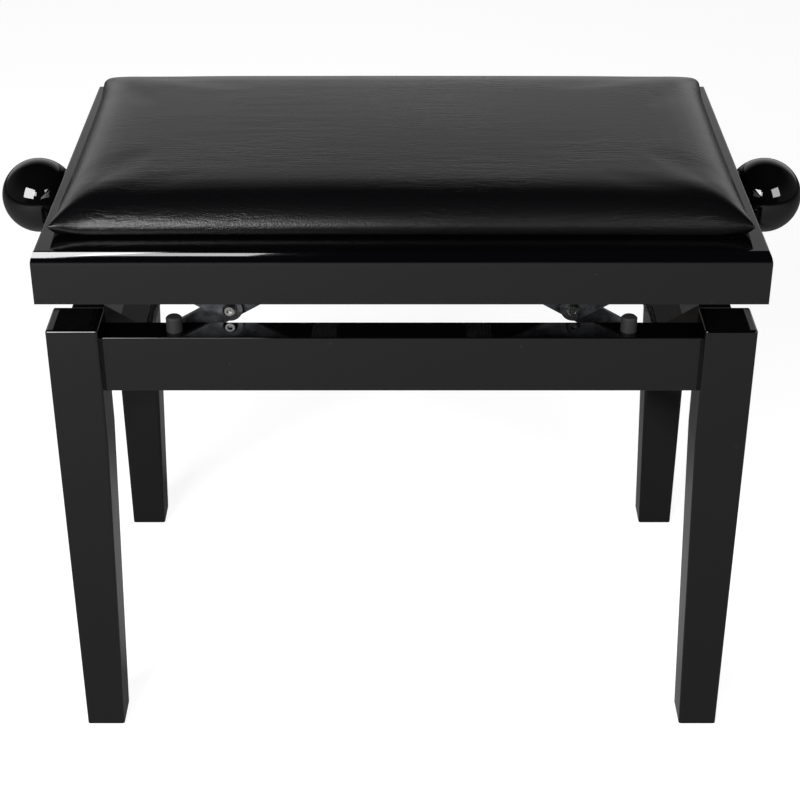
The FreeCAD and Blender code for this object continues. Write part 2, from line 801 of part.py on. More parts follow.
panel_blank = box("panel_blank", ("2 * panel_half_x", "2 * panel_half_y", "panel_thick"),
                  ("-panel_half_x", "-panel_half_y", "panel_base"))
panel_bores = pad_bores("panel", "panel_thick + 2 * cut_over", "panel_base - cut_over")
finish(cut("panel", panel_blank, panel_bores), "seat_panel")
copies("pad_screws", screw, [((x, y, "panel_base"),) for x, y in PAD_SCREWS])


def pillow(name, inset, base, top, crowned=True):
    """Block of the cushion's plan, drawn in by an inset; its top may be rounded too."""
    body = new_body(name)
    half_x = "(pad_half_x - (%s))" % inset
    half_y = "(pad_half_y - (%s))" % inset
    outline = [("0", "0"), ("2 * " + half_x, "0"), ("2 * " + half_x, "2 * " + half_y),
               ("0", "2 * " + half_y)]
    rise = "%s - (%s)" % (top, base)
    pad(body, polygon_sketch(body, name + "_outline", "XY_Plane", outline), rise)
    height = number(rise)
    fillet(body, rising_edges(body.Shape), "cushion_corner - (%s)" % inset)
    if crowned:
        crown = edges_of(body.Shape, lambda p: near(p.z, height))
        fillet(body, crown, "cushion_round - (%s)" % inset)
    return place(body, ("-" + half_x, "-" + half_y, base))


board_blank = pillow("board_blank", "board_inset", "rim_top", "(rim_top + pad_board_thick)", False)
board_bores = pad_bores("board", "screw_length - panel_thick + tip_gap + cut_over",
                        "rim_top - cut_over")
finish(cut("board", board_blank, board_bores), "pad_board")
CROWN = "(rim_top + cushion_rise)"
finish(pillow("foam", "board_inset", "foam_base", CROWN + " - board_inset"), "seat_foam")
cover_skin = pillow("cover_skin", "0", "rim_top + side_gap", CROWN)
cover_core = pillow("cover_core", "cover_thick", "rim_top + side_gap - cut_over",
                    CROWN + " - cover_thick")
finish(cut("cover", cover_skin, [cover_core]), "seat_cover")


# ---------- seat brackets and pivots ----------

seat_bracket = side_bracket("seat_bracket", "seat_reach", "pivot_dia + 2 * run_gap")
bracket_pair("left_seat_brackets", seat_bracket, "-", "long_outer", "spindle_z")
bracket_pair("right_seat_brackets", seat_bracket, "", "long_outer", "spindle_z")
copies("seat_bracket_screws", screw,
       bracket_screw_places("rim_inner_x - bracket_thick", "long_outer", "spindle_z"))


def pivot_bolt(name, grip):
    """Button-head bolt with a hexagon socket; shank along +Z."""
    head = new_body(name + "_head")
    rim_r = "bolt_head_dia / 2"
    outline = [("0", "-bolt_head_height"), (rim_r + " - bolt_crown", "-bolt_head_height"),
               (rim_r + " - bolt_shoulder", "-bolt_head_height / 2"),
               (rim_r, "-bolt_edge"), (rim_r, "0"), ("0", "0")]
    sketch = polygon_sketch(head, name + "_head_outline", "XZ_Plane", outline)
    revolve(head, sketch, "Z_Axis")
    shank = cylinder(name + "_shank", "pivot_dia", "%s + nut_height + bolt_tail" % grip)
    blank = fuse(name + "_blank", [head, shank])
    socket = hex_prism(name + "_socket", "socket_key", "socket_depth + cut_over",
                       ("0", "0", "-bolt_head_height - cut_over"))
    return cut(name, blank, [socket])


def pivot_places(x, out, level):
    """The same place at the front and the back, +Z turned inwards."""
    return [((x, "-(%s)" % out, level), (1, 0, 0), "-90"), ((x, out, level), (1, 0, 0), "90")]


HEAD_AT = "short_outer + side_gap"
seat_bolt = pivot_bolt("seat_bolt", "seat_grip")
mid_bolt = pivot_bolt("mid_bolt", "mid_grip")
pivot_nut = nut("pivot_nut", "nut_key", "nut_height", "pivot_dia + 2 * run_gap")
copies("seat_pivot_bolts", seat_bolt, pivot_places("-pivot_x", HEAD_AT, "spindle_z")
       + pivot_places("pivot_x", HEAD_AT, "spindle_z"))
copies("seat_pivot_nuts", pivot_nut,
       pivot_places("-pivot_x", "seat_ear_inner - side_gap", "spindle_z")
       + pivot_places("pivot_x", "seat_ear_inner - side_gap", "spindle_z"))


# ---------- lift arms ----------

def arm(name, span, bores):
    """Flat bar with round ends; bores is a list of (distance, diameter)."""
    middle = box(name + "_bar", (span, "arm_thick", "arm_width"), ("0", "0", "-arm_width / 2"))
    ends = [along_y("%s_end_%s" % (name, tag), "arm_width", "arm_thick", (at, "0", "0"))
            for tag, at in (("a", "0"), ("b", span))]
    blank = fuse(name + "_blank", [middle] + ends)
    tools = [along_y("%s_bore_%d" % (name, index), dia, "arm_thick + 2 * cut_over",
                     (at, "-cut_over", "0"))
             for index, (at, dia) in enumerate(bores)]
    return cut(name, blank, tools)


ROD_FIT = "rod_dia + 2 * run_gap"
PIVOT_FIT = "pivot_dia + 2 * run_gap"
OPEN_FIT = "pivot_dia + 2 * open_gap"
TRUNNION_FIT = "trunnion_dia + 2 * run_gap"
LEAN = {"left": ("-", "-arm_angle", "arm_angle"),
        "right": ("", "arm_angle - 180 deg", "180 deg - arm_angle")}

for side_name, (side_sign, long_turn, short_turn) in LEAN.items():
    seat_fit = PIVOT_FIT if side_name == "left" else OPEN_FIT
    for row_name, long_y, short_y in (("front", "-long_outer", "-short_outer"),
                                      ("back", "long_inner", "short_inner")):
        tag = "%s_%s_" % (side_name, row_name)
        long_arm = arm(tag + "long", "2 * half_arm",
                       [("0", ROD_FIT), ("half_arm", PIVOT_FIT), ("2 * half_arm", TRUNNION_FIT)])
        place(long_arm, (side_sign + "pivot_x", long_y, "base_pivot_z"), (0, 1, 0), long_turn)
        finish(long_arm, tag + "long_arm")
        short_arm = arm(tag + "short", "half_arm", [("0", seat_fit), ("half_arm", PIVOT_FIT)])
        place(short_arm, (side_sign + "pivot_x", short_y, "spindle_z"), (0, 1, 0), short_turn)
        finish(short_arm, tag + "short_arm")
    copies(side_name + "_mid_bolts", mid_bolt, pivot_places(side_sign + "mid_x", HEAD_AT, "mid_z"))
    copies(side_name + "_mid_nuts", pivot_nut,
           pivot_places(side_sign + "mid_x", "ear_outer", "mid_z"))


# ---------- spindle, nut bars, bushes, collars, knobs ----------

def nut_bar(label, side):
    """Square cross bar with turned ends, bored across for the spindle thread."""
    block = box(label + "_block", ("bar_side", "2 * bar_half", "bar_side"),
                ("-bar_side / 2", "-bar_half", "-bar_side / 2"))
    ends = along_y(label + "_ends", "trunnion_dia", "2 * trunnion_half",
                   ("0", "-trunnion_half", "0"))
    blank = fuse(label + "_blank", [block, ends])
    bore = along_x(label + "_bore", "spindle_dia + 2 * open_gap", "bar_side + 2 * cut_over",
                   ("-bar_side / 2 - cut_over", "0", "0"))
    return finish(place(cut(label + "_cut", blank, [bore]), (side + "nut_x", "0", "spindle_z")),
                  label)


def ring(name, outer, inner, length):
    blank = cylinder(name + "_disc", outer, length)
    return cut(name, blank, [cylinder(name + "_hole", inner, length + " + 2 * cut_over",
                                    ("0", "0", "-cut_over"))])


nut_bar("left_nut_bar", "-")
nut_bar("right_nut_bar", "")
clip = ring("clip", "clip_dia", "trunnion_dia + 2 * run_gap", "clip_thick")
for side_name, side_sign in (("left", "-"), ("right", "")):
    copies(side_name + "_bar_clips", clip,
           pivot_places(side_sign + "nut_x", "clip_at + clip_thick", "spindle_z"))


def spindle():
    """Shaft turned down at the middle and outside its two threaded stretches."""
    body = new_body("spindle_body")
    thin, full = "shaft_dia / 2", "spindle_dia / 2"
    outline = [
        ("0", "0"), ("shaft_half", "0"), ("shaft_half", thin), ("thread_end", thin),
        ("thread_end", full), ("thread_start", full), ("thread_start", thin), ("0", thin),
    ]
    revolve(body, polygon_sketch(body, "spindle_half", "XY_Plane", outline), "X_Axis")
    other = body.newObject("PartDesign::Mirrored", "spindle_mirror")
    other.Originals = [body.Tip]
    other.MirrorPlane = (plane_of(body, "YZ_Plane"), [""])
    body.Tip = other
    return finish(place(body, ("0", "0", "spindle_z")), "spindle")


def knob(label, side):
    """Ball with a flat neck face towards the bench, bored for the spindle."""
    ball = doc.addObject("Part::Sphere", label + "_ball")
    bind(ball, "Radius", "knob_dia / 2")
    flat = box(label + "_flat", ("knob_dia", "2 * knob_dia", "2 * knob_dia"),
               ("-knob_dia - knob_neck", "-knob_dia", "-knob_dia"))
    bore = along_x(label + "_bore", "shaft_dia + 2 * run_gap", "knob_dia",
                   ("knob_bore_depth + end_gap - knob_neck - knob_dia", "0", "0"))
    pin_bore = cylinder(label + "_pin_bore", "pin_dia + 2 * run_gap", "knob_dia",
                        ("pin_x - knob_mid_x", "0", "-knob_dia"))
    turned = cut(label + "_cut", ball, [flat, bore, pin_bore])
    turn = "180" if side == "-" else "0"
    return finish(place(turned, (side + "knob_mid_x", "0", "spindle_z"), UP, turn), label)


spindle()
knob("left_knob", "-")
knob("right_knob", "")
pin = cylinder("knob_pin", "pin_dia", "pin_length")
copies("knob_pins", pin,
       [((sign + "pin_x", "0", "spindle_z - shaft_dia / 2 - run_gap - pin_length"),)
        for sign in ("-", "")])
collar = ring("collar", "collar_dia", "shaft_dia + 2 * run_gap", "collar_length")
copies("spindle_collars", collar,
       [(("-collar_out", "0", "spindle_z"), (0, 1, 0), "90"),
        (("collar_out", "0", "spindle_z"), (0, 1, 0), "-90")])
bush = ring("bush", "bush_dia", "shaft_dia + 2 * run_gap", "rim_thick")
rose = ring("rose", "rose_dia", "shaft_dia + head_room", "rose_thick")
for side_name, side_sign, turn in (("left", "-", "90"), ("right", "", "-90")):
    copies(side_name + "_spindle_bush", bush,
           [((side_sign + "bench_width / 2", "0", "spindle_z"), (0, 1, 0), turn)])
    copies(side_name + "_knob_rose", rose,
           [((side_sign + "(bench_width / 2 + rose_thick)", "0", "spindle_z"), (0, 1, 0), turn)])


# ---------- checks and export ----------

doc.recompute()
for thing in doc.Objects:
    if "Invalid" in thing.State or "Error" in thing.State:
        raise RuntimeError("failed object: " + thing.Label)
for node in nodes:
    if node.Shape.isNull() or not node.Shape.isValid():
        raise RuntimeError("bad shape: " + node.Label)
    if not node.Shape.Solids:
        raise RuntimeError("no solid: " + node.Label)

os.makedirs("parts", exist_ok=True)
for node in nodes:
    node.Shape.exportStep("parts/%s.step" % node.Label)
print("wrote", len(nodes), "nodes")
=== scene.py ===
import math

import bmesh
import bpy
import numpy as np
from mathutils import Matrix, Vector, noise
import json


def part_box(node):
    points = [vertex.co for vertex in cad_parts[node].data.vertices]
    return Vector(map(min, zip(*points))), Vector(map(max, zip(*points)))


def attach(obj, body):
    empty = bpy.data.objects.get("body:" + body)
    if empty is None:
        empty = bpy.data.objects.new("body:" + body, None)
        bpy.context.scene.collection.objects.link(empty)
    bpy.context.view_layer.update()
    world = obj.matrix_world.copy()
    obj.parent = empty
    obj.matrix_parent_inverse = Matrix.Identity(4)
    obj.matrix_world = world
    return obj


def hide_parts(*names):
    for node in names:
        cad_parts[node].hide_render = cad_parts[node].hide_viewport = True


# Height-adjustable piano bench: black lacquered frame, padded leatherette seat on two
# mirrored half-scissors, and a left/right-hand spindle with a round knob at each end.
# Metres, +Z up, the front of the bench faces -Y.

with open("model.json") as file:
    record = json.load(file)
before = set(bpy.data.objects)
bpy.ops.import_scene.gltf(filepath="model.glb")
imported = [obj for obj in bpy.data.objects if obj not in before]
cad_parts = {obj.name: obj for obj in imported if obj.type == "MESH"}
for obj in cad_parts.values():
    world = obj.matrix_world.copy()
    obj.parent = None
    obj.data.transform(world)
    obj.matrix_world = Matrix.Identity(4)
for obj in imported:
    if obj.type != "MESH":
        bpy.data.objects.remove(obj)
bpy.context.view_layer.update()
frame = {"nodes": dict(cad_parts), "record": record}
MM = 0.001


# ---------- helpers for nodes and meshes ----------

def srgb(code):
    """An sRGB hex colour as the linear RGBA that the shaders take."""
    parts = [int(code[i:i + 2], 16) / 255 for i in (1, 3, 5)]
    linear = [c / 12.92 if c <= 0.04045 else ((c + 0.055) / 1.055) ** 2.4 for c in parts]
    return (*linear, 1.0)


def add(tree, kind, settings=(), sockets=()):
    """Adds one node with its settings. A socket is given a value, or the output to link."""
    node = tree.nodes.new(kind)
    for name, value in dict(settings).items():
        setattr(node, name, value)
    for key, value in dict(sockets).items():
        if isinstance(value, (list, tuple)) and value and isinstance(value[0], bpy.types.NodeSocket):
            for output in value:
                tree.links.new(output, node.inputs[key])
        elif isinstance(value, bpy.types.NodeSocket):
            tree.links.new(value, node.inputs[key])
        else:
            node.inputs[key].default_value = value
    return node


def blank_material(name):
    material = bpy.data.materials.new(name)
    material.use_nodes = True
    material.node_tree.nodes.clear()
    return material, material.node_tree


def cover_with(tree, shader):
    add(tree, "ShaderNodeOutputMaterial", sockets={"Surface": shader.outputs[0]})


def object_point(tree, scale=(1, 1, 1), turn=(0, 0, 0)):
    """The surface's own coordinates, stretched or turned by a Mapping node."""
    place = add(tree, "ShaderNodeTexCoord")
    return add(tree, "ShaderNodeMapping", sockets={
        "Vector": place.outputs["Object"], "Scale": scale, "Rotation": turn}).outputs[0]


def plain_object(name, mesh):
    made = bpy.data.objects.new(name, mesh)
    bpy.context.scene.collection.objects.link(made)
    return made


def outward(mesh):
    """Merges doubles and turns every face of a closed mesh outwards."""
    shell = bmesh.new()
    shell.from_mesh(mesh)
    bmesh.ops.remove_doubles(shell, verts=shell.verts, dist=1e-7)
    bmesh.ops.recalc_face_normals(shell, faces=shell.faces)
    shell.to_mesh(mesh)
    shell.free()


# ---------- materials ----------

def polyester_lacquer():
    """Black polyester lacquer, sprayed thick, sanded and buffed on solid wood: mirror
    gloss that shows long soft waves and a trace of orange peel, with faint polishing haze."""
    material, tree = blank_material("buffed_black_polyester_lacquer")
    wave = add(tree, "ShaderNodeTexNoise", sockets={
        "Vector": object_point(tree, (6, 14, 14)), "Scale": 1.0, "Detail": 1.0})  # 70 to 160 mm
    peel = add(tree, "ShaderNodeTexNoise", sockets={
        "Vector": object_point(tree), "Scale": 330.0, "Detail": 1.0})  # 3 mm
    haze = add(tree, "ShaderNodeTexNoise", sockets={
        "Vector": object_point(tree, (1, 1, 1), (0.3, 0.5, 0.9)), "Scale": 22.0,
        "Detail": 5.0, "Roughness": 0.65})
    dust = add(tree, "ShaderNodeTexVoronoi", {"feature": "F1"}, {
        "Vector": object_point(tree), "Scale": 62.0, "Randomness": 1.0})
    speck = add(tree, "ShaderNodeMapRange", sockets={
        "Value": dust.outputs["Distance"], "From Min": 0.02, "From Max": 0.035,
        "To Min": 1.0, "To Max": 0.0})
    rough = add(tree, "ShaderNodeMapRange", sockets={
        "Value": haze.outputs["Fac"], "From Min": 0.35, "From Max": 0.75,
        "To Min": 0.025, "To Max": 0.075})
    tone = add(tree, "ShaderNodeMix", {"data_type": "RGBA"}, {
        0: speck.outputs[0], 6: srgb("#030304"), 7: srgb("#2c2c2e")})
    long_wave = add(tree, "ShaderNodeBump", sockets={
        "Strength": 1.0, "Distance": 0.00035, "Height": wave.outputs["Fac"]})
    fine_peel = add(tree, "ShaderNodeBump", sockets={
        "Strength": 1.0, "Distance": 0.0000012, "Height": peel.outputs["Fac"],
        "Normal": long_wave.outputs[0]})
    cover_with(tree, add(tree, "ShaderNodeBsdfPrincipled", sockets={
        "Base Color": tone.outputs[2], "Roughness": rough.outputs[0], "IOR": 1.52,
        "Normal": fine_peel.outputs[0]}))
    return material


def leatherette():
    """Embossed black PVC artificial leather, drawn over foam: small pebbled cells, fine
    cross creases where it was pulled tight from front to back, and a soft satin sheen."""
    material, tree = blank_material("embossed_black_leatherette")
    cells = add(tree, "ShaderNodeTexVoronoi", {"feature": "SMOOTH_F1"}, {
        "Vector": object_point(tree, (1, 1.25, 1)), "Scale": 620.0, "Smoothness": 0.55,
        "Randomness": 0.95})  # cells about 1.6 mm
    bend = add(tree, "ShaderNodeTexNoise", sockets={
        "Vector": object_point(tree), "Scale": 26.0, "Detail": 2.0})
    bent = add(tree, "ShaderNodeVectorMath", {"operation": "MULTIPLY_ADD"}, {
        0: bend.outputs["Color"], 1: (0.004, 0.011, 0.004), 2: object_point(tree)})
    drawn = add(tree, "ShaderNodeMapping", sockets={
        "Vector": bent.outputs[0], "Scale": (46, 420, 420)})
    crease = add(tree, "ShaderNodeTexNoise", sockets={
        "Vector": drawn.outputs[0], "Scale": 1.0, "Detail": 3.0, "Roughness": 0.6})
    ridged = add(tree, "ShaderNodeMapRange", {"interpolation_type": "SMOOTHSTEP"}, {
        "Value": crease.outputs["Fac"], "From Min": 0.36, "From Max": 0.56})
    patch = add(tree, "ShaderNodeTexNoise", sockets={
        "Vector": object_point(tree, (1, 2.2, 2.2)), "Scale": 9.0, "Detail": 2.0})
    where = add(tree, "ShaderNodeMapRange", {"interpolation_type": "SMOOTHSTEP"}, {
        "Value": patch.outputs["Fac"], "From Min": 0.38, "From Max": 0.66,
        "To Min": 0.25, "To Max": 1.0})
    lines = add(tree, "ShaderNodeMath", {"operation": "MULTIPLY"}, {
        0: ridged.outputs[0], 1: where.outputs[0]})
    worn = add(tree, "ShaderNodeTexNoise", sockets={
        "Vector": object_point(tree), "Scale": 5.0, "Detail": 4.0})
    rough = add(tree, "ShaderNodeMapRange", sockets={
        "Value": worn.outputs["Fac"], "From Min": 0.3, "From Max": 0.7,
        "To Min": 0.25, "To Max": 0.31})
    tone = add(tree, "ShaderNodeMix", {"data_type": "RGBA"}, {
        0: cells.outputs["Distance"], 6: srgb("#040405"), 7: srgb("#070708")})
    creases = add(tree, "ShaderNodeBump", sockets={
        "Strength": 1.0, "Distance": 0.00007, "Height": lines.outputs[0]})
    grain = add(tree, "ShaderNodeBump", {"invert": True}, {
        "Strength": 1.0, "Distance": 0.000055, "Height": cells.outputs["Distance"],
        "Normal": creases.outputs[0]})
    cover_with(tree, add(tree, "ShaderNodeBsdfPrincipled", sockets={
        "Base Color": tone.outputs[2], "Roughness": rough.outputs[0], "IOR": 1.35,
        "Normal": grain.outputs[0]}))
    return material


def phenolic():
    """Black phenolic resin, compression moulded and tumbled: the knobs' glassy gloss."""
    material, tree = blank_material("polished_black_phenolic_resin")
    flow = add(tree, "ShaderNodeTexNoise", sockets={
        "Vector": object_point(tree), "Scale": 38.0, "Detail": 3.0})
    rough = add(tree, "ShaderNodeMapRange", sockets={
        "Value": flow.outputs["Fac"], "From Min": 0.35, "From Max": 0.7,
        "To Min": 0.02, "To Max": 0.05})
    tone = add(tree, "ShaderNodeMix", {"data_type": "RGBA"}, {
        0: flow.outputs["Fac"], 6: srgb("#030303"), 7: srgb("#070708")})
    dents = add(tree, "ShaderNodeBump", sockets={
        "Strength": 1.0, "Distance": 0.00001, "Height": flow.outputs["Fac"]})
    cover_with(tree, add(tree, "ShaderNodeBsdfPrincipled", sockets={
        "Base Color": tone.outputs[2], "Roughness": rough.outputs[0], "IOR": 1.5,
        "Normal": dents.outputs[0]}))
    return material


def black_zinc_steel():
    """Cold-rolled flat steel, stamped and black zinc passivated: dark, slightly mottled
    metal with a fine mottled bump in its surface."""
    material, tree = blank_material("black_zinc_passivated_steel")
    mottle = add(tree, "ShaderNodeTexNoise", sockets={
        "Vector": object_point(tree), "Scale": 120.0, "Detail": 6.0, "Roughness": 0.7})
    cloud = add(tree, "ShaderNodeTexNoise", sockets={
        "Vector": object_point(tree), "Scale": 28.0, "Detail": 3.0})
    shade = add(tree, "ShaderNodeMapRange", sockets={
        "Value": mottle.outputs["Fac"], "From Min": 0.32, "From Max": 0.72})
    tone = add(tree, "ShaderNodeMix", {"data_type": "RGBA"}, {
        0: shade.outputs[0], 6: srgb("#38393b"), 7: srgb("#8a8c90")})
    rough = add(tree, "ShaderNodeMapRange", sockets={
        "Value": cloud.outputs["Fac"], "From Min": 0.3, "From Max": 0.7,
        "To Min": 0.28, "To Max": 0.48})
    rolled = add(tree, "ShaderNodeBump", sockets={
        "Strength": 1.0, "Distance": 0.000015, "Height": mottle.outputs["Fac"]})
    cover_with(tree, add(tree, "ShaderNodeBsdfPrincipled", sockets={
        "Base Color": tone.outputs[2], "Metallic": 1.0, "Roughness": rough.outputs[0],
        "Normal": rolled.outputs[0]}))
    return material


def bright_zinc():
    """Steel fasteners, cold formed and bright zinc plated: cool silver with a faint
    blue and straw passivation and tiny plating pits."""
    material, tree = blank_material("bright_zinc_plated_steel")
    tint = add(tree, "ShaderNodeTexNoise", sockets={
        "Vector": object_point(tree), "Scale": 160.0, "Detail": 3.0})
    tone = add(tree, "ShaderNodeMix", {"data_type": "RGBA"}, {
        0: tint.outputs["Fac"], 6: srgb("#84868b"), 7: srgb("#a8a69f")})
    pits = add(tree, "ShaderNodeTexNoise", sockets={
        "Vector": object_point(tree), "Scale": 1400.0, "Detail": 2.0})
    rough = add(tree, "ShaderNodeMapRange", sockets={
        "Value": pits.outputs["Fac"], "From Min": 0.3, "From Max": 0.7,
        "To Min": 0.18, "To Max": 0.34})
    plated = add(tree, "ShaderNodeBump", sockets={
        "Strength": 1.0, "Distance": 0.00001, "Height": pits.outputs["Fac"]})
    cover_with(tree, add(tree, "ShaderNodeBsdfPrincipled", sockets={
        "Base Color": tone.outputs[2], "Metallic": 1.0, "Roughness": rough.outputs[0],
        "Normal": plated.outputs[0]}))
    return material


def turned_steel():
    """Drawn steel bar, turned and lightly oiled: grey metal with fine tool lines round
    the spindle and a browner film of oil in places."""
    material, tree = blank_material("turned_oiled_steel")
    lines = add(tree, "ShaderNodeTexNoise", sockets={
        "Vector": object_point(tree, (2600, 60, 60)), "Scale": 1.0, "Detail": 1.0})  # 0.4 mm feed
    oil = add(tree, "ShaderNodeTexNoise", sockets={
        "Vector": object_point(tree), "Scale": 45.0, "Detail": 4.0})
    film = add(tree, "ShaderNodeMapRange", sockets={
        "Value": oil.outputs["Fac"], "From Min": 0.42, "From Max": 0.68})
    tone = add(tree, "ShaderNodeMix", {"data_type": "RGBA"}, {
        0: film.outputs[0], 6: srgb("#a2a4a7"), 7: srgb("#7b756b")})
    rough = add(tree, "ShaderNodeMapRange", sockets={
        "Value": lines.outputs["Fac"], "From Min": 0.3, "From Max": 0.7,
        "To Min": 0.2, "To Max": 0.36})
    cut = add(tree, "ShaderNodeBump", sockets={
        "Strength": 1.0, "Distance": 0.00001, "Height": lines.outputs["Fac"]})
    cover_with(tree, add(tree, "ShaderNodeBsdfPrincipled", sockets={
        "Base Color": tone.outputs[2], "Metallic": 1.0, "Roughness": rough.outputs[0],
        "Normal": cut.outputs[0]}))
    return material


def moulded_polymer(name, dark, light, rough_from, rough_to, grain_mm, depth):
    """A moulded black polymer: its skin's grain, and a tone that varies very little."""
    material, tree = blank_material(name)
    skin = add(tree, "ShaderNodeTexNoise", sockets={
        "Vector": object_point(tree), "Scale": 1 / (grain_mm * MM), "Detail": 4.0})
    tone = add(tree, "ShaderNodeMix", {"data_type": "RGBA"}, {
        0: skin.outputs["Fac"], 6: srgb(dark), 7: srgb(light)})
    rough = add(tree, "ShaderNodeMapRange", sockets={
        "Value": skin.outputs["Fac"], "From Min": 0.3, "From Max": 0.7,
        "To Min": rough_from, "To Max": rough_to})
    texture = add(tree, "ShaderNodeBump", sockets={
        "Strength": 1.0, "Distance": depth, "Height": skin.outputs["Fac"]})
    cover_with(tree, add(tree, "ShaderNodeBsdfPrincipled", sockets={
        "Base Color": tone.outputs[2], "Roughness": rough.outputs[0], "IOR": 1.5,
        "Normal": texture.outputs[0]}))
    return material


def sawn_wood(name, early, late, turn, rough_low, fibre_mm=1.1):
    """Planed wood: long fibres and slow growth rings along one direction."""
    material, tree = blank_material(name)
    along = object_point(tree, (9, 210, 210), turn)
    rings = add(tree, "ShaderNodeTexNoise", sockets={
        "Vector": along, "Scale": 0.35, "Detail": 5.0, "Roughness": 0.62})
    fibre = add(tree, "ShaderNodeTexNoise", sockets={
        "Vector": along, "Scale": 4.5 / fibre_mm, "Detail": 3.0})
    mixed = add(tree, "ShaderNodeMapRange", sockets={
        "Value": rings.outputs["Fac"], "From Min": 0.33, "From Max": 0.66})
    tone = add(tree, "ShaderNodeMix", {"data_type": "RGBA"}, {
        0: mixed.outputs[0], 6: srgb(early), 7: srgb(late)})
    rough = add(tree, "ShaderNodeMapRange", sockets={
        "Value": fibre.outputs["Fac"], "From Min": 0.3, "From Max": 0.7,
        "To Min": rough_low, "To Max": rough_low + 0.18})
    pores = add(tree, "ShaderNodeBump", sockets={
        "Strength": 1.0, "Distance": 0.00006, "Height": fibre.outputs["Fac"]})
    cover_with(tree, add(tree, "ShaderNodeBsdfPrincipled", sockets={
        "Base Color": tone.outputs[2], "Roughness": rough.outputs[0], "IOR": 1.5,
        "Normal": pores.outputs[0]}))
    return material


LACQUER = polyester_lacquer()
LEATHERETTE = leatherette()
KNOB_RESIN = phenolic()
DARK_STEEL = black_zinc_steel()
ZINC = bright_zinc()
TURNED = turned_steel()
# EPDM rubber, compression moulded: dead matt black with a dusty bloom.
RUBBER = moulded_polymer("moulded_black_rubber", "#0c0c0c", "#171717", 0.62, 0.8, 0.6, 0.00004)
# Polyamide 6, injection moulded in a lightly eroded tool: satin black.
NYLON = moulded_polymer("moulded_black_nylon", "#0e0e0f", "#151516", 0.38, 0.5, 0.4, 0.00001)
# Beech, planed and stained black before assembly: the grain still shows in the gloss.
BLACK_BEECH = sawn_wood("black_stained_beech", "#0b0a0a", "#1c1815", (0, 0, 0), 0.34)
BEECH = sawn_wood("planed_beech", "#c79e70", "#ad7f52", (0, 0, 0), 0.5)
# Birch plywood, rotary cut and sanded: pale, with broad cathedral figure along its length.
BIRCH = sawn_wood("sanded_birch_plywood", "#d3b48a", "#b8935f", (0, 0, 0), 0.52, 1.6)

FINISHES = {
    "black_lacquer": LACQUER, "raw_beech": BEECH, "plywood": BIRCH, "dark_steel": DARK_STEEL,
    "zinc_steel": ZINC, "turned_steel": TURNED, "black_rubber": RUBBER,
    "black_nylon": NYLON, "knob_black": KNOB_RESIN, "leatherette": LEATHERETTE,
    "foam": LEATHERETTE, "black_stain": BLACK_BEECH,
}
for part in frame["record"]["subparts"]:
    finish = FINISHES[part["material_slot"]]
    if part["node"] == "seat_panel":
        finish = LACQUER
    for index in range(len(frame["nodes"][part["node"]].data.materials)):
        frame["nodes"][part["node"]].data.materials[index] = finish


# ---------- what repeats: geometry-node trees ----------

def new_tree(name, inputs):
    """A geometry-node tree with named inputs, and its group input and output nodes."""
    tree = bpy.data.node_groups.new(name, "GeometryNodeTree")
    for label, kind in (("Geometry", "NodeSocketGeometry"), *inputs):
        tree.interface.new_socket(label, in_out="INPUT", socket_type=kind)
    tree.interface.new_socket("Geometry", in_out="OUTPUT", socket_type="NodeSocketGeometry")
    return tree, add(tree, "NodeGroupInput").outputs


def end_tree(tree, geometry, finish):
    """Real geometry, smooth but for its sharp edges, with its material."""
    real = add(tree, "GeometryNodeRealizeInstances", sockets={"Geometry": geometry})
    round_faces = add(tree, "GeometryNodeSetShadeSmooth", sockets={
        "Geometry": real.outputs[0], "Shade Smooth": True})
    angle = add(tree, "GeometryNodeInputMeshEdgeAngle")
    sharp = add(tree, "FunctionNodeCompare", {"data_type": "FLOAT", "operation": "GREATER_THAN"}, {
        0: angle.outputs[0], 1: math.radians(32)})
    crisp = add(tree, "GeometryNodeSetShadeSmooth", {"domain": "EDGE"}, {
        "Geometry": round_faces.outputs[0], "Selection": sharp.outputs[0],
        "Shade Smooth": False})
    dressed = add(tree, "GeometryNodeSetMaterial", sockets={
        "Geometry": crisp.outputs[0], "Material": finish})
    add(tree, "NodeGroupOutput", sockets={"Geometry": dressed.outputs[0]})


def grown(name, tree, values, start=None):
    """The tree's result as a plain mesh object. Inputs are set before it is evaluated."""
    seed = plain_object(name + "_start", start or bpy.data.meshes.new(name + "_start"))
    modifier = seed.modifiers.new("grow", "NODES")
    modifier.node_group = tree
    for socket in tree.interface.items_tree:
        if socket.in_out == "INPUT" and socket.name in values:
            modifier[socket.identifier] = values[socket.name]
    seed.update_tag()
    graph = bpy.context.evaluated_depsgraph_get()
    mesh = bpy.data.meshes.new_from_object(seed.evaluated_get(graph), depsgraph=graph)
    bpy.data.objects.remove(seed)
    mesh.name = name
    outward(mesh)
    return plain_object(name, mesh)


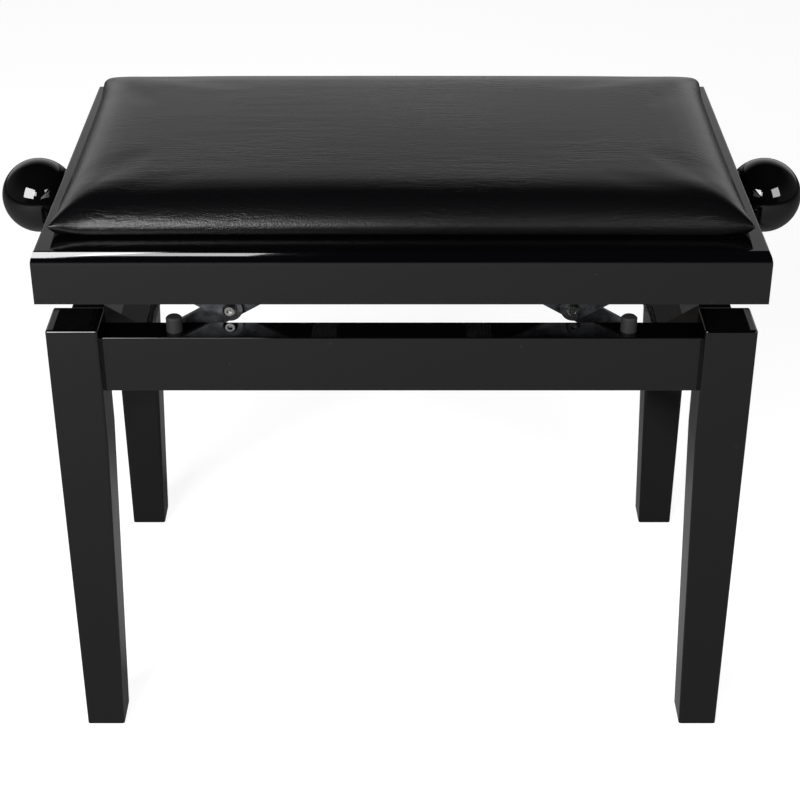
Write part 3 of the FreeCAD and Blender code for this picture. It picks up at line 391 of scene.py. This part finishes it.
def spindle_tree():
    """The lift spindle: a plain shaft with a right-hand thread on its right half and the
    mirrored, left-hand thread on its left half."""
    tree, given = new_tree("spindle", [
        ("Thread start", "NodeSocketFloat"), ("Thread end", "NodeSocketFloat"),
        ("Half length", "NodeSocketFloat"), ("Crest radius", "NodeSocketFloat"),
        ("Shaft radius", "NodeSocketFloat"), ("Pitch", "NodeSocketFloat"),
        ("Depth", "NodeSocketFloat"), ("Height", "NodeSocketFloat"),
        ("Finish", "NodeSocketMaterial")])
    length = add(tree, "ShaderNodeMath", {"operation": "SUBTRACT"}, {
        0: given["Thread end"], 1: given["Thread start"]}).outputs[0]
    sheet = add(tree, "GeometryNodeMeshGrid", sockets={
        "Size X": length, "Size Y": 1.0, "Vertices X": 325, "Vertices Y": 29})
    at = add(tree, "ShaderNodeSeparateXYZ", sockets={
        0: add(tree, "GeometryNodeInputPosition").outputs[0]})
    turns = add(tree, "ShaderNodeMath", {"operation": "DIVIDE"}, {
        0: at.outputs[0], 1: given["Pitch"]})
    phase = add(tree, "ShaderNodeMath", {"operation": "ADD"}, {
        0: turns.outputs[0], 1: at.outputs[1]})
    flank = add(tree, "ShaderNodeMath", {"operation": "PINGPONG"}, {
        0: phase.outputs[0], 1: 0.5})
    groove = add(tree, "ShaderNodeMapRange", {"interpolation_type": "SMOOTHSTEP"}, {
        "Value": flank.outputs[0], "From Min": 0.08, "From Max": 0.42,
        "To Min": 0.0, "To Max": given["Depth"]})
    radius = add(tree, "ShaderNodeMath", {"operation": "SUBTRACT"}, {
        0: given["Crest radius"], 1: groove.outputs[0]})
    edge = add(tree, "ShaderNodeMath", {"operation": "ABSOLUTE"}, {0: at.outputs[0]})
    half = add(tree, "ShaderNodeMath", {"operation": "MULTIPLY"}, {0: length, 1: 0.4999})
    inside = add(tree, "ShaderNodeMath", {"operation": "LESS_THAN"}, {
        0: edge.outputs[0], 1: half.outputs[0]})
    closed = add(tree, "ShaderNodeMath", {"operation": "MULTIPLY"}, {
        0: radius.outputs[0], 1: inside.outputs[0]})
    angle = add(tree, "ShaderNodeMath", {"operation": "MULTIPLY"}, {
        0: at.outputs[1], 1: math.tau})
    middle = add(tree, "ShaderNodeMath", {"operation": "MULTIPLY_ADD"}, {
        0: length, 1: 0.5, 2: given["Thread start"]})
    spot = []
    for function in ("COSINE", "SINE"):
        wave = add(tree, "ShaderNodeMath", {"operation": function}, {0: angle.outputs[0]})
        spot.append(add(tree, "ShaderNodeMath", {"operation": "MULTIPLY"}, {
            0: closed.outputs[0], 1: wave.outputs[0]}).outputs[0])
    run = add(tree, "ShaderNodeMath", {"operation": "ADD"}, {
        0: at.outputs[0], 1: middle.outputs[0]})
    wound = add(tree, "GeometryNodeSetPosition", sockets={
        "Geometry": sheet.outputs[0],
        "Position": add(tree, "ShaderNodeCombineXYZ", sockets={
            0: run.outputs[0], 1: spot[0], 2: spot[1]}).outputs[0]})
    sewn = add(tree, "GeometryNodeMergeByDistance", sockets={
        "Geometry": wound.outputs[0], "Distance": 0.000001})
    mirrored = add(tree, "GeometryNodeTransform", sockets={
        "Geometry": sewn.outputs[0], "Scale": (-1.0, 1.0, 1.0)})
    long_way = add(tree, "ShaderNodeMath", {"operation": "MULTIPLY"}, {
        0: given["Half length"], 1: 2.0})
    shaft = add(tree, "GeometryNodeMeshCylinder", sockets={
        "Vertices": 40, "Radius": given["Shaft radius"], "Depth": long_way.outputs[0]})
    laid = add(tree, "GeometryNodeTransform", sockets={
        "Geometry": shaft.outputs[0], "Rotation": (0.0, math.pi / 2, 0.0)})
    joined = add(tree, "GeometryNodeJoinGeometry", sockets={
        0: [sewn.outputs[0], mirrored.outputs[0], laid.outputs[0]]})
    raised = add(tree, "GeometryNodeTransform", sockets={
        "Geometry": joined.outputs[0],
        "Translation": add(tree, "ShaderNodeCombineXYZ", sockets={
            2: given["Height"]}).outputs[0]})
    end_tree(tree, raised.outputs[0], given["Finish"])
    return tree


def set_on_points(tree, points, piece):
    """One copy of a piece on each point, its +Z along the point's stored axis."""
    axis = add(tree, "GeometryNodeInputNamedAttribute", {"data_type": "FLOAT_VECTOR"}, {
        "Name": "axis"})
    facing = add(tree, "FunctionNodeAlignRotationToVector", {"axis": "Z"}, {
        "Vector": axis.outputs[0]})
    return add(tree, "GeometryNodeInstanceOnPoints", sockets={
        "Points": points, "Instance": piece, "Rotation": facing.outputs[0]}).outputs[0]


def screw_tree():
    """Pan-head screws with a cross recess: a domed head on the wood's surface, +Z out."""
    tree, given = new_tree("pan_head_screws", [
        ("Head radius", "NodeSocketFloat"), ("Head height", "NodeSocketFloat"),
        ("Dome radius", "NodeSocketFloat"), ("Shank radius", "NodeSocketFloat"),
        ("Shank length", "NodeSocketFloat"), ("Recess width", "NodeSocketFloat"),
        ("Recess reach", "NodeSocketFloat"), ("Recess depth", "NodeSocketFloat"),
        ("Finish", "NodeSocketMaterial")])
    half_height = add(tree, "ShaderNodeMath", {"operation": "MULTIPLY"}, {
        0: given["Head height"], 1: 0.5})
    slug = add(tree, "GeometryNodeMeshCylinder", sockets={
        "Vertices": 28, "Radius": given["Head radius"], "Depth": given["Head height"]})
    head = add(tree, "GeometryNodeTransform", sockets={
        "Geometry": slug.outputs[0],
        "Translation": add(tree, "ShaderNodeCombineXYZ", sockets={
            2: half_height.outputs[0]}).outputs[0]})
    ball = add(tree, "GeometryNodeMeshUVSphere", sockets={
        "Segments": 28, "Rings": 30, "Radius": given["Dome radius"]})
    sink = add(tree, "ShaderNodeMath", {"operation": "SUBTRACT"}, {
        0: given["Head height"], 1: given["Dome radius"]})
    dome = add(tree, "GeometryNodeTransform", sockets={
        "Geometry": ball.outputs[0],
        "Translation": add(tree, "ShaderNodeCombineXYZ", sockets={2: sink.outputs[0]}).outputs[0]})
    rounded = add(tree, "GeometryNodeMeshBoolean", {"operation": "INTERSECT"}, {
        1: [head.outputs[0], dome.outputs[0]]})
    slots = []
    for first, second in ((0, 1), (1, 0)):
        size = add(tree, "ShaderNodeCombineXYZ", sockets={
            first: given["Recess reach"], second: given["Recess width"],
            2: given["Recess depth"]})
        bar = add(tree, "GeometryNodeMeshCube", sockets={"Size": size.outputs[0]})
        slots.append(add(tree, "GeometryNodeTransform", sockets={
            "Geometry": bar.outputs[0],
            "Translation": add(tree, "ShaderNodeCombineXYZ", sockets={
                2: given["Head height"]}).outputs[0]}).outputs[0])
    driven = add(tree, "GeometryNodeMeshBoolean", {"operation": "DIFFERENCE"}, {
        0: rounded.outputs[0], 1: slots})
    drop = add(tree, "ShaderNodeMath", {"operation": "MULTIPLY"}, {
        0: given["Shank length"], 1: -1.0})
    shank = add(tree, "GeometryNodeMeshCone", sockets={
        "Vertices": 16, "Side Segments": 1, "Radius Top": given["Shank radius"],
        "Radius Bottom": 0.0008, "Depth": given["Shank length"]})
    hung = add(tree, "GeometryNodeTransform", sockets={
        "Geometry": shank.outputs[0],
        "Translation": add(tree, "ShaderNodeCombineXYZ", sockets={2: drop.outputs[0]}).outputs[0]})
    whole = add(tree, "GeometryNodeJoinGeometry", sockets={
        0: [driven.outputs[0], hung.outputs[0]]})
    end_tree(tree, set_on_points(tree, given["Geometry"], whole.outputs[0]), given["Finish"])
    return tree


def nut_tree():
    """Hexagon nuts with turned corners and a clear bore, centred on their points."""
    tree, given = new_tree("hexagon_nuts", [
        ("Corner radius", "NodeSocketFloat"), ("Thickness", "NodeSocketFloat"),
        ("Ball radius", "NodeSocketFloat"), ("Bore radius", "NodeSocketFloat"),
        ("Finish", "NodeSocketMaterial")])
    blank = add(tree, "GeometryNodeMeshCylinder", sockets={
        "Vertices": 6, "Radius": given["Corner radius"], "Depth": given["Thickness"]})
    ball = add(tree, "GeometryNodeMeshUVSphere", sockets={
        "Segments": 36, "Rings": 30, "Radius": given["Ball radius"]})
    turned = add(tree, "GeometryNodeMeshBoolean", {"operation": "INTERSECT"}, {
        1: [blank.outputs[0], ball.outputs[0]]})
    deep = add(tree, "ShaderNodeMath", {"operation": "MULTIPLY"}, {
        0: given["Thickness"], 1: 2.0})
    drill = add(tree, "GeometryNodeMeshCylinder", sockets={
        "Vertices": 24, "Radius": given["Bore radius"], "Depth": deep.outputs[0]})
    bored = add(tree, "GeometryNodeMeshBoolean", {"operation": "DIFFERENCE"}, {
        0: turned.outputs[0], 1: [drill.outputs[0]]})
    end_tree(tree, set_on_points(tree, given["Geometry"], bored.outputs[0]), given["Finish"])
    return tree


DIRECTIONS = [Vector(d).normalized() for d in (
    (1, 0, 0), (0, 1, 0), (0, 0, 1), (1, 1, 0), (1, -1, 0))]


def separate_solids(node):
    """The vertex places of each solid in a CAD node that holds several."""
    shell = bmesh.new()
    shell.from_mesh(frame["nodes"][node].data)
    bmesh.ops.remove_doubles(shell, verts=shell.verts, dist=1e-6)
    left, groups = set(shell.verts), []
    while left:
        queue, group = [left.pop()], []
        while queue:
            vertex = queue.pop()
            group.append(vertex.co.copy())
            for edge in vertex.link_edges:
                other = edge.other_vert(vertex)
                if other in left:
                    left.remove(other)
                    queue.append(other)
        groups.append(group)
    shell.free()
    return groups


def seat_points(name, spots):
    """A mesh of loose points, each with the axis that its piece stands along."""
    mesh = bpy.data.meshes.new(name)
    mesh.from_pydata([spot for spot, _ in spots], [], [])
    store = mesh.attributes.new("axis", "FLOAT_VECTOR", "POINT")
    store.data.foreach_set("vector", [value for _, axis in spots for value in axis])
    return mesh


def screw_spots(node):
    """Where each screw's head meets the surface, and the way out of it."""
    spots = []
    for group in separate_solids(node):
        axis = max(DIRECTIONS, key=lambda d: max(p @ d for p in group) - min(p @ d for p in group))
        low, high = min(p @ axis for p in group), max(p @ axis for p in group)
        middle = sum(group, Vector()) / len(group)
        wide = {}
        for end, level in ((-1, low), (1, high)):
            near = [p for p in group if abs(p @ axis - level) < 0.0016]
            wide[end] = max(((p - middle) - axis * ((p - middle) @ axis)).length for p in near)
        end = max(wide, key=wide.get)
        across = middle - axis * (middle @ axis)
        level = (high - SCREW_HEAD) if end > 0 else (low + SCREW_HEAD)
        spots.append((across + axis * level, axis * end))
    return spots


def nut_spots(node):
    """The middle and the axis of each nut: the axis is its thinnest way through."""
    spots = []
    for group in separate_solids(node):
        axis = min(DIRECTIONS, key=lambda d: max(p @ d for p in group) - min(p @ d for p in group))
        low = Vector(min(p[i] for p in group) for i in range(3))
        high = Vector(max(p[i] for p in group) for i in range(3))
        spots.append(((low + high) / 2, axis))
    return spots


SCREW_HEAD = 2.4 * MM
low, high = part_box("spindle")
spindle = grown("threaded_spindle", spindle_tree(), {
    "Thread start": 38 * MM, "Thread end": 146 * MM, "Half length": high.x,
    "Crest radius": 6 * MM, "Shaft radius": 5 * MM, "Pitch": 3 * MM, "Depth": 1.35 * MM,
    "Height": (low.z + high.z) / 2, "Finish": TURNED})
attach(spindle, "spindle_shaft")
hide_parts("spindle")

SCREWS = screw_tree()
for node, body in (("corner_block_screws", "base"), ("base_bracket_screws", "base"),
                   ("seat_bracket_screws", "seat"), ("pad_screws", "seat")):
    set_of_screws = grown(node + "_cross_head", SCREWS, {
        "Head radius": 4 * MM, "Head height": SCREW_HEAD, "Dome radius": 4.6 * MM,
        "Shank radius": 2 * MM, "Shank length": 15 * MM, "Recess width": 0.9 * MM,
        "Recess reach": 4.2 * MM, "Recess depth": 2.6 * MM, "Finish": ZINC},
        seat_points(node, screw_spots(node)))
    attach(set_of_screws, body)
    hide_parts(node)

NUTS = nut_tree()
for node, body in (("leg_bolt_nuts", "base"), ("seat_pivot_nuts", "seat"),
                   ("left_mid_nuts", "left_long_arms"), ("right_mid_nuts", "right_long_arms")):
    set_of_nuts = grown(node + "_turned", NUTS, {
        "Corner radius": 5.77 * MM, "Thickness": 5 * MM, "Ball radius": 6.05 * MM,
        "Bore radius": 3.02 * MM, "Finish": ZINC}, seat_points(node, nut_spots(node)))
    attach(set_of_nuts, body)
    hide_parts(node)


# ---------- the seat frame ----------

ROLL = 18 * MM               # radius of the roll down the outer face of each rail
ROLL_END = math.radians(34)  # tilt where the roll ends, at a small arris below the top
ARRIS = 0.9 * MM
CAD_ROUND = 6 * MM
front_low, front_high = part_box("front_rim")
right_low, right_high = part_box("right_rim")
FRAME_HALF = (right_high.x, -front_low.y)


def roll_profile():
    """The rolled edge as lines of (distance in, distance down) from face to top."""
    lean = np.linspace(0, ROLL_END, 13)
    turn = np.linspace(ROLL_END, math.pi / 2, 7)[1:]
    inward = np.concatenate([ROLL * (1 - np.cos(lean)),
                             ROLL * (1 - math.cos(ROLL_END))
                             + ARRIS * (math.cos(ROLL_END) - np.cos(turn))])
    upward = np.concatenate([ROLL * np.sin(lean),
                             ROLL * math.sin(ROLL_END)
                             + ARRIS * (np.sin(turn) - math.sin(ROLL_END))])
    return inward, upward[-1] - upward


def rolled_rail(node, axis, sign):
    """A rail of the seat frame with its outer top edge sanded to a long roll."""
    inward, down = roll_profile()
    share = np.linspace(0, 1, len(inward))
    mesh = frame["nodes"][node].data.copy()
    along = 1 - axis
    for vertex in mesh.vertices:
        deep = FRAME_HALF[axis] - sign * vertex.co[axis]
        drop = front_high.z - vertex.co.z
        if deep > CAD_ROUND + 1e-5 or drop > CAD_ROUND + 1e-5:
            continue
        if deep < 1e-5 and drop > CAD_ROUND - 1e-5 or drop < 1e-5 and deep > CAD_ROUND - 1e-5:
            at = 0.0 if deep < 1e-5 else 1.0
        else:
            at = math.atan2(CAD_ROUND - drop, CAD_ROUND - deep) / (math.pi / 2)
        inset = float(np.interp(at, share, inward))
        mitred = abs(abs(vertex.co[along]) - FRAME_HALF[along] + deep) < 1e-5
        vertex.co[axis] = sign * (FRAME_HALF[axis] - inset)
        vertex.co.z = front_high.z - float(np.interp(at, share, down))
        if mitred:
            vertex.co[along] = math.copysign(FRAME_HALF[along] - inset, vertex.co[along])
    outward(mesh)
    shell = bmesh.new()
    shell.from_mesh(mesh)
    shell.normal_update()
    for edge in shell.edges:
        flat = {max(map(abs, face.normal)) > 0.99999 for face in edge.link_faces}
        edge.smooth = len(flat) == 1 and edge.calc_face_angle(0.0) < math.radians(28)
    for face in shell.faces:
        face.smooth = True
    shell.to_mesh(mesh)
    shell.free()
    rail = plain_object(node + "_rolled", mesh)
    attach(rail, "seat")
    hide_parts(node)


rolled_rail("front_rim", 1, -1)
rolled_rail("back_rim", 1, 1)
rolled_rail("left_rim", 0, -1)
rolled_rail("right_rim", 0, 1)


# ---------- the cushion ----------

cover_low, cover_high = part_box("seat_cover")
PAD_BASE = cover_low.z
PAD_EDGE = (cover_high.x - 0.6 * MM, cover_high.y + 0.6 * MM)
EDGE_LEVEL = 2.4 * MM        # the widest line of the cover, above the frame
FRONT_EAR = 6.2 * MM         # how much higher that line runs into each front corner
BACK_EAR = 5 * MM           # and into each back corner
EAR_REACH = 17 * MM
CURVES = (                   # radius of the cover's section, and the tilt where it ends
    (15 * MM, math.radians(28)), (33 * MM, math.radians(70)), (48 * MM, math.radians(83)),
    (120 * MM, math.radians(90)))
CROWN = 2.6 * MM
FILL_SHARE = 0.12            # the cover is already cut full, so filling moves it a little
SIDE_PULL = 2.0 * MM         # how far each side draws in between its corners


def shoulder_curve():
    """Distance in from the edge against height, for the cover's upper curve."""
    reach, rise, turn = [0.0], [0.0], 0.0
    for radius, end in CURVES:
        tilt = np.linspace(turn, end, 25)[1:]
        reach.extend(reach[-1] + radius * (math.cos(turn) - np.cos(tilt)))
        rise.extend(rise[-1] + radius * (np.sin(tilt) - math.sin(turn)))
        turn = end
    return np.array(reach), np.array(rise)


REACH, RISE = shoulder_curve()


def spaced(half, count):
    """Grid lines from -half to half, closer together towards both edges."""
    steps = np.linspace(-1, 1, count)
    return half * np.sin(steps * math.pi / 2 * 0.93) / math.sin(math.pi / 2 * 0.93)


def pad_sheets(across, along):
    """The cover's upper and lower sheet over a grid of plan places, as two arrays."""
    x, y = np.meshgrid(across, along, indexing="ij")
    half_x, half_y = PAD_EDGE
    u, v = np.abs(x) / half_x, np.abs(y) / half_y
    in_x, in_y = half_x - np.abs(x), half_y - np.abs(y)
    drawn = (np.interp(in_x, REACH, RISE) * np.interp(in_y, REACH, RISE)) / RISE[-1]
    nearest = (np.maximum(in_x, 1e-5) ** -4.0 + np.maximum(in_y, 1e-5) ** -4.0) ** -0.25
    boxed = np.interp(nearest, REACH, RISE)
    square = np.clip((y + 0.02) / 0.12, 0, 1)
    square = 0.85 * square ** 2 * (3 - 2 * square)
    upper = drawn * (1 - square) + boxed * square
    corner = np.exp(-((in_x ** 2 + in_y ** 2) / EAR_REACH ** 2))
    edge = EDGE_LEVEL + np.where(y < 0, FRONT_EAR, BACK_EAR) * corner
    crown = CROWN * (1 - u ** 2) * (1 - v ** 2)
    top = PAD_BASE + edge + upper + crown
    tuck = 9 * MM
    rest = np.sqrt(1 - np.clip(1 - in_x / tuck, 0, 1) ** 2)
    rest = rest * np.sqrt(1 - np.clip(1 - in_y / tuck, 0, 1) ** 2)
    bottom = PAD_BASE + edge * (1 - rest)
    pull = SIDE_PULL * (1 - np.exp(-(half_x - np.abs(x)) / 0.05)) * v ** 6
    draw = SIDE_PULL * (1 - np.exp(-(half_y - np.abs(y)) / 0.05)) * u ** 6
    x = x - np.sign(x) * draw
    y = y - np.sign(y) * pull
    return np.stack([x, y, top], -1), np.stack([x, y, bottom], -1)


def pad_mesh(name, top, bottom):
    """Both sheets sewn into one closed form. Their outer rows are shared."""
    rows, columns = top.shape[:2]
    points = top.reshape(-1, 3).tolist()
    number = np.arange(rows * columns).reshape(rows, columns)
    below = number.copy()
    for i in range(1, rows - 1):
        for j in range(1, columns - 1):
            below[i, j] = len(points)
            points.append(bottom[i, j].tolist())
    faces = []
    for i in range(rows - 1):
        for j in range(columns - 1):
            faces.append((number[i, j], number[i + 1, j], number[i + 1, j + 1], number[i, j + 1]))
            faces.append((below[i, j], below[i, j + 1], below[i + 1, j + 1], below[i + 1, j]))
    mesh = bpy.data.meshes.new(name)
    mesh.from_pydata(points, [], [tuple(int(k) for k in face) for face in faces])
    return mesh


def filled(across, along, cap):
    """How far the cover moves when it is filled: cloth under pressure over a coarse grid."""
    top, bottom = pad_sheets(across, along)
    trial = plain_object("filling_trial", pad_mesh("filling_trial", top, bottom))
    start = np.array([v.co for v in trial.data.vertices])
    held = trial.vertex_groups.new(name="held")
    count = top.shape[0] * top.shape[1]
    for index, place in enumerate(start):
        if index >= count or place[2] < PAD_BASE + 9.5 * MM:
            held.add([index], 1.0, "REPLACE")
    cloth = trial.modifiers.new("filling", "CLOTH")
    cloth.settings.quality = 6
    cloth.settings.mass = 0.35
    cloth.settings.tension_stiffness = 60
    cloth.settings.compression_stiffness = 60
    cloth.settings.shear_stiffness = 8
    cloth.settings.bending_stiffness = 4.0
    cloth.settings.use_pressure = True
    cloth.settings.uniform_pressure_force = 4.0
    cloth.settings.vertex_group_mass = "held"
    cloth.settings.effector_weights.gravity = 0.0
    scene = bpy.context.scene
    for number in range(1, 21):
        scene.frame_set(number)
    graph = bpy.context.evaluated_depsgraph_get()
    mesh = bpy.data.meshes.new_from_object(trial.evaluated_get(graph), depsgraph=graph)
    end = np.array([v.co for v in mesh.vertices])
    scene.frame_set(1)
    bpy.data.objects.remove(trial)
    bpy.data.meshes.remove(mesh)
    moved = end - start
    size = np.linalg.norm(moved, axis=1, keepdims=True)
    moved *= np.minimum(1.0, cap / np.maximum(size, 1e-9))
    return FILL_SHARE * moved[:count].reshape(top.shape)


def spread(field, across, along, fine_x, fine_y):
    """A coarse field read at the lines of a finer grid."""
    over_x = np.stack([[np.interp(fine_x, across, field[:, j, k]) for j in range(len(along))]
                       for k in range(3)], 0)
    over_y = np.stack([[np.interp(fine_y, along, over_x[k, :, i]) for i in range(len(fine_x))]
                       for k in range(3)], -1)
    return over_y


def draw_creases(top):
    """Long shallow creases that run across the seat, strongest in a few drawn patches."""
    rows, columns = top.shape[:2]
    for i in range(2, rows - 2):
        for j in range(2, columns - 2):
            x, y, z = top[i, j]
            sway = 0.006 * noise.noise((x * 7, y * 3, 0.4))
            wave = noise.noise((x * 16, (y + sway) * 125, 1.7))
            patch = max(0.0, noise.noise((x * 6, y * 8, 5.2)) + 0.25)
            inside = min(1.0, (z - PAD_BASE) / (18 * MM))
            top[i, j, 2] += 0.12 * MM * wave * patch * inside
    return top


fine_x, fine_y = spaced(PAD_EDGE[0], 243), spaced(PAD_EDGE[1], 141)
sheet_top, sheet_bottom = pad_sheets(fine_x, fine_y)
coarse_x, coarse_y = spaced(PAD_EDGE[0], 105), spaced(PAD_EDGE[1], 61)
sheet_top += spread(filled(coarse_x, coarse_y, 5 * MM), coarse_x, coarse_y, fine_x, fine_y)
sheet_top = draw_creases(sheet_top)
cushion_mesh = pad_mesh("leatherette_cushion", sheet_top, sheet_bottom)
cushion_mesh.materials.append(LEATHERETTE)
outward(cushion_mesh)
cushion_mesh.shade_smooth()
cushion = plain_object("leatherette_cushion", cushion_mesh)
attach(cushion, "seat")
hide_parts("seat_cover", "seat_foam", "pad_board")


# ---------- floor, lamps, camera ----------

def studio_floor():
    """Pale paper floor: white behind the bench, with the bench's own soft shadow on it."""
    material, tree = blank_material("pale_paper_floor")
    path = add(tree, "ShaderNodeLightPath")
    side = add(tree, "ShaderNodeNewGeometry")
    paper = add(tree, "ShaderNodeBsdfDiffuse", sockets={"Color": srgb("#929292")})
    seen = add(tree, "ShaderNodeBsdfDiffuse", sockets={"Color": srgb("#a0a0a0")})
    white = add(tree, "ShaderNodeEmission", sockets={"Color": (1, 1, 1, 1), "Strength": 0.86})
    lit = add(tree, "ShaderNodeAddShader", sockets={0: seen.outputs[0], 1: white.outputs[0]})
    direct = add(tree, "ShaderNodeMath", {"operation": "MAXIMUM"}, {
        0: path.outputs["Is Camera Ray"], 1: path.outputs["Is Transmission Ray"]})
    shown = add(tree, "ShaderNodeMixShader", sockets={
        0: direct.outputs[0], 1: paper.outputs[0], 2: lit.outputs[0]})
    under = add(tree, "ShaderNodeMath", {"operation": "MULTIPLY"}, {
        0: side.outputs["Backfacing"], 1: path.outputs["Is Camera Ray"]})
    clear = add(tree, "ShaderNodeBsdfTransparent")
    cover_with(tree, add(tree, "ShaderNodeMixShader", sockets={
        0: under.outputs[0], 1: shown.outputs[0], 2: clear.outputs[0]}))
    mesh = bpy.data.meshes.new("studio_floor")
    reach = 7.0
    mesh.from_pydata([(-reach, -reach, 0), (reach, -reach, 0), (reach, reach, 0),
                      (-reach, reach, 0)], [], [(0, 1, 2, 3)])
    mesh.materials.append(material)
    plain_object("studio_floor", mesh)


def studio_world():
    """A white wall behind the bench, dim walls at both sides, and a dark ceiling and
    front. The camera itself sees white."""
    world = bpy.data.worlds.new("studio")
    bpy.context.scene.world = world
    world.use_nodes = True
    tree = world.node_tree
    tree.nodes.clear()
    way = add(tree, "ShaderNodeSeparateXYZ", sockets={
        0: add(tree, "ShaderNodeTexCoord").outputs["Generated"]})
    low_down = add(tree, "ShaderNodeMapRange", {"interpolation_type": "SMOOTHSTEP"}, {
        "Value": way.outputs[2], "From Min": 0.15, "From Max": 0.8, "To Min": 0.8, "To Max": 0.0})
    behind = add(tree, "ShaderNodeMapRange", {"interpolation_type": "SMOOTHSTEP"}, {
        "Value": way.outputs[1], "From Min": 0.55, "From Max": 0.84})
    sideways = add(tree, "ShaderNodeMath", {"operation": "ABSOLUTE"}, {0: way.outputs[0]})
    walls = add(tree, "ShaderNodeMapRange", {"interpolation_type": "SMOOTHSTEP"}, {
        "Value": sideways.outputs[0], "From Min": 0.5, "From Max": 0.64, "To Max": 0.12})
    either = add(tree, "ShaderNodeMath", {"operation": "MAXIMUM"}, {
        0: behind.outputs[0], 1: walls.outputs[0]})
    lit = add(tree, "ShaderNodeMath", {"operation": "MULTIPLY_ADD"}, {
        0: either.outputs[0], 1: low_down.outputs[0], 2: 0.004})
    path = add(tree, "ShaderNodeLightPath")
    strength = add(tree, "ShaderNodeMath", {"operation": "MAXIMUM"}, {
        0: lit.outputs[0], 1: path.outputs["Is Camera Ray"]})
    back = add(tree, "ShaderNodeBackground", sockets={
        "Color": (1, 1, 1, 1), "Strength": strength.outputs[0]})
    add(tree, "ShaderNodeOutputWorld", sockets={"Surface": back.outputs[0]})


def softbox(name, azimuth, elevation, distance, wide, high, radiance):
    """A soft lamp that faces the bench and has the same brightness all over. Its width
    and height are the angles that it fills, in degrees; azimuth is from the front."""
    lamp = bpy.data.lights.new(name, "AREA")
    lamp.shape = "RECTANGLE"
    lamp.size = 2 * distance * math.tan(math.radians(wide) / 2)
    lamp.size_y = 2 * distance * math.tan(math.radians(high) / 2)
    lamp.energy = radiance * math.pi * lamp.size * lamp.size_y
    stand = bpy.data.objects.new(name, lamp)
    bpy.context.scene.collection.objects.link(stand)
    turn, lift = math.radians(azimuth), math.radians(elevation)
    way = Vector((math.sin(turn) * math.cos(lift), -math.cos(turn) * math.cos(lift),
                  math.sin(lift)))
    stand.location = way * distance + Vector((0, 0, 0.42))
    stand.rotation_mode = "QUATERNION"
    stand.rotation_quaternion = way.to_track_quat("Z", "Y")
    stand.visible_camera = False


def studio_camera():
    lens = bpy.data.cameras.new("bench_camera")
    lens.sensor_width = 36.0
    lens.lens = 82.24
    lens.shift_x = -0.0034
    lens.clip_end = 100.0
    camera = bpy.data.objects.new("bench_camera", lens)
    bpy.context.scene.collection.objects.link(camera)
    camera.location = (0.0009, -1.39368, 1.03657)
    camera.rotation_euler = (math.radians(90 - 30.165), 0.0, 0.0)
    bpy.context.scene.camera = camera


studio_floor()
studio_world()
softbox("left_softbox", -31, 25, 2.3, 29, 27, 19.0)
softbox("left_strip", -12, 26, 2.3, 8, 12, 12.0)
softbox("right_softbox", 37, 26, 2.6, 22, 24, 10.0)
studio_camera()
bpy.context.scene.view_settings.view_transform = "Standard"
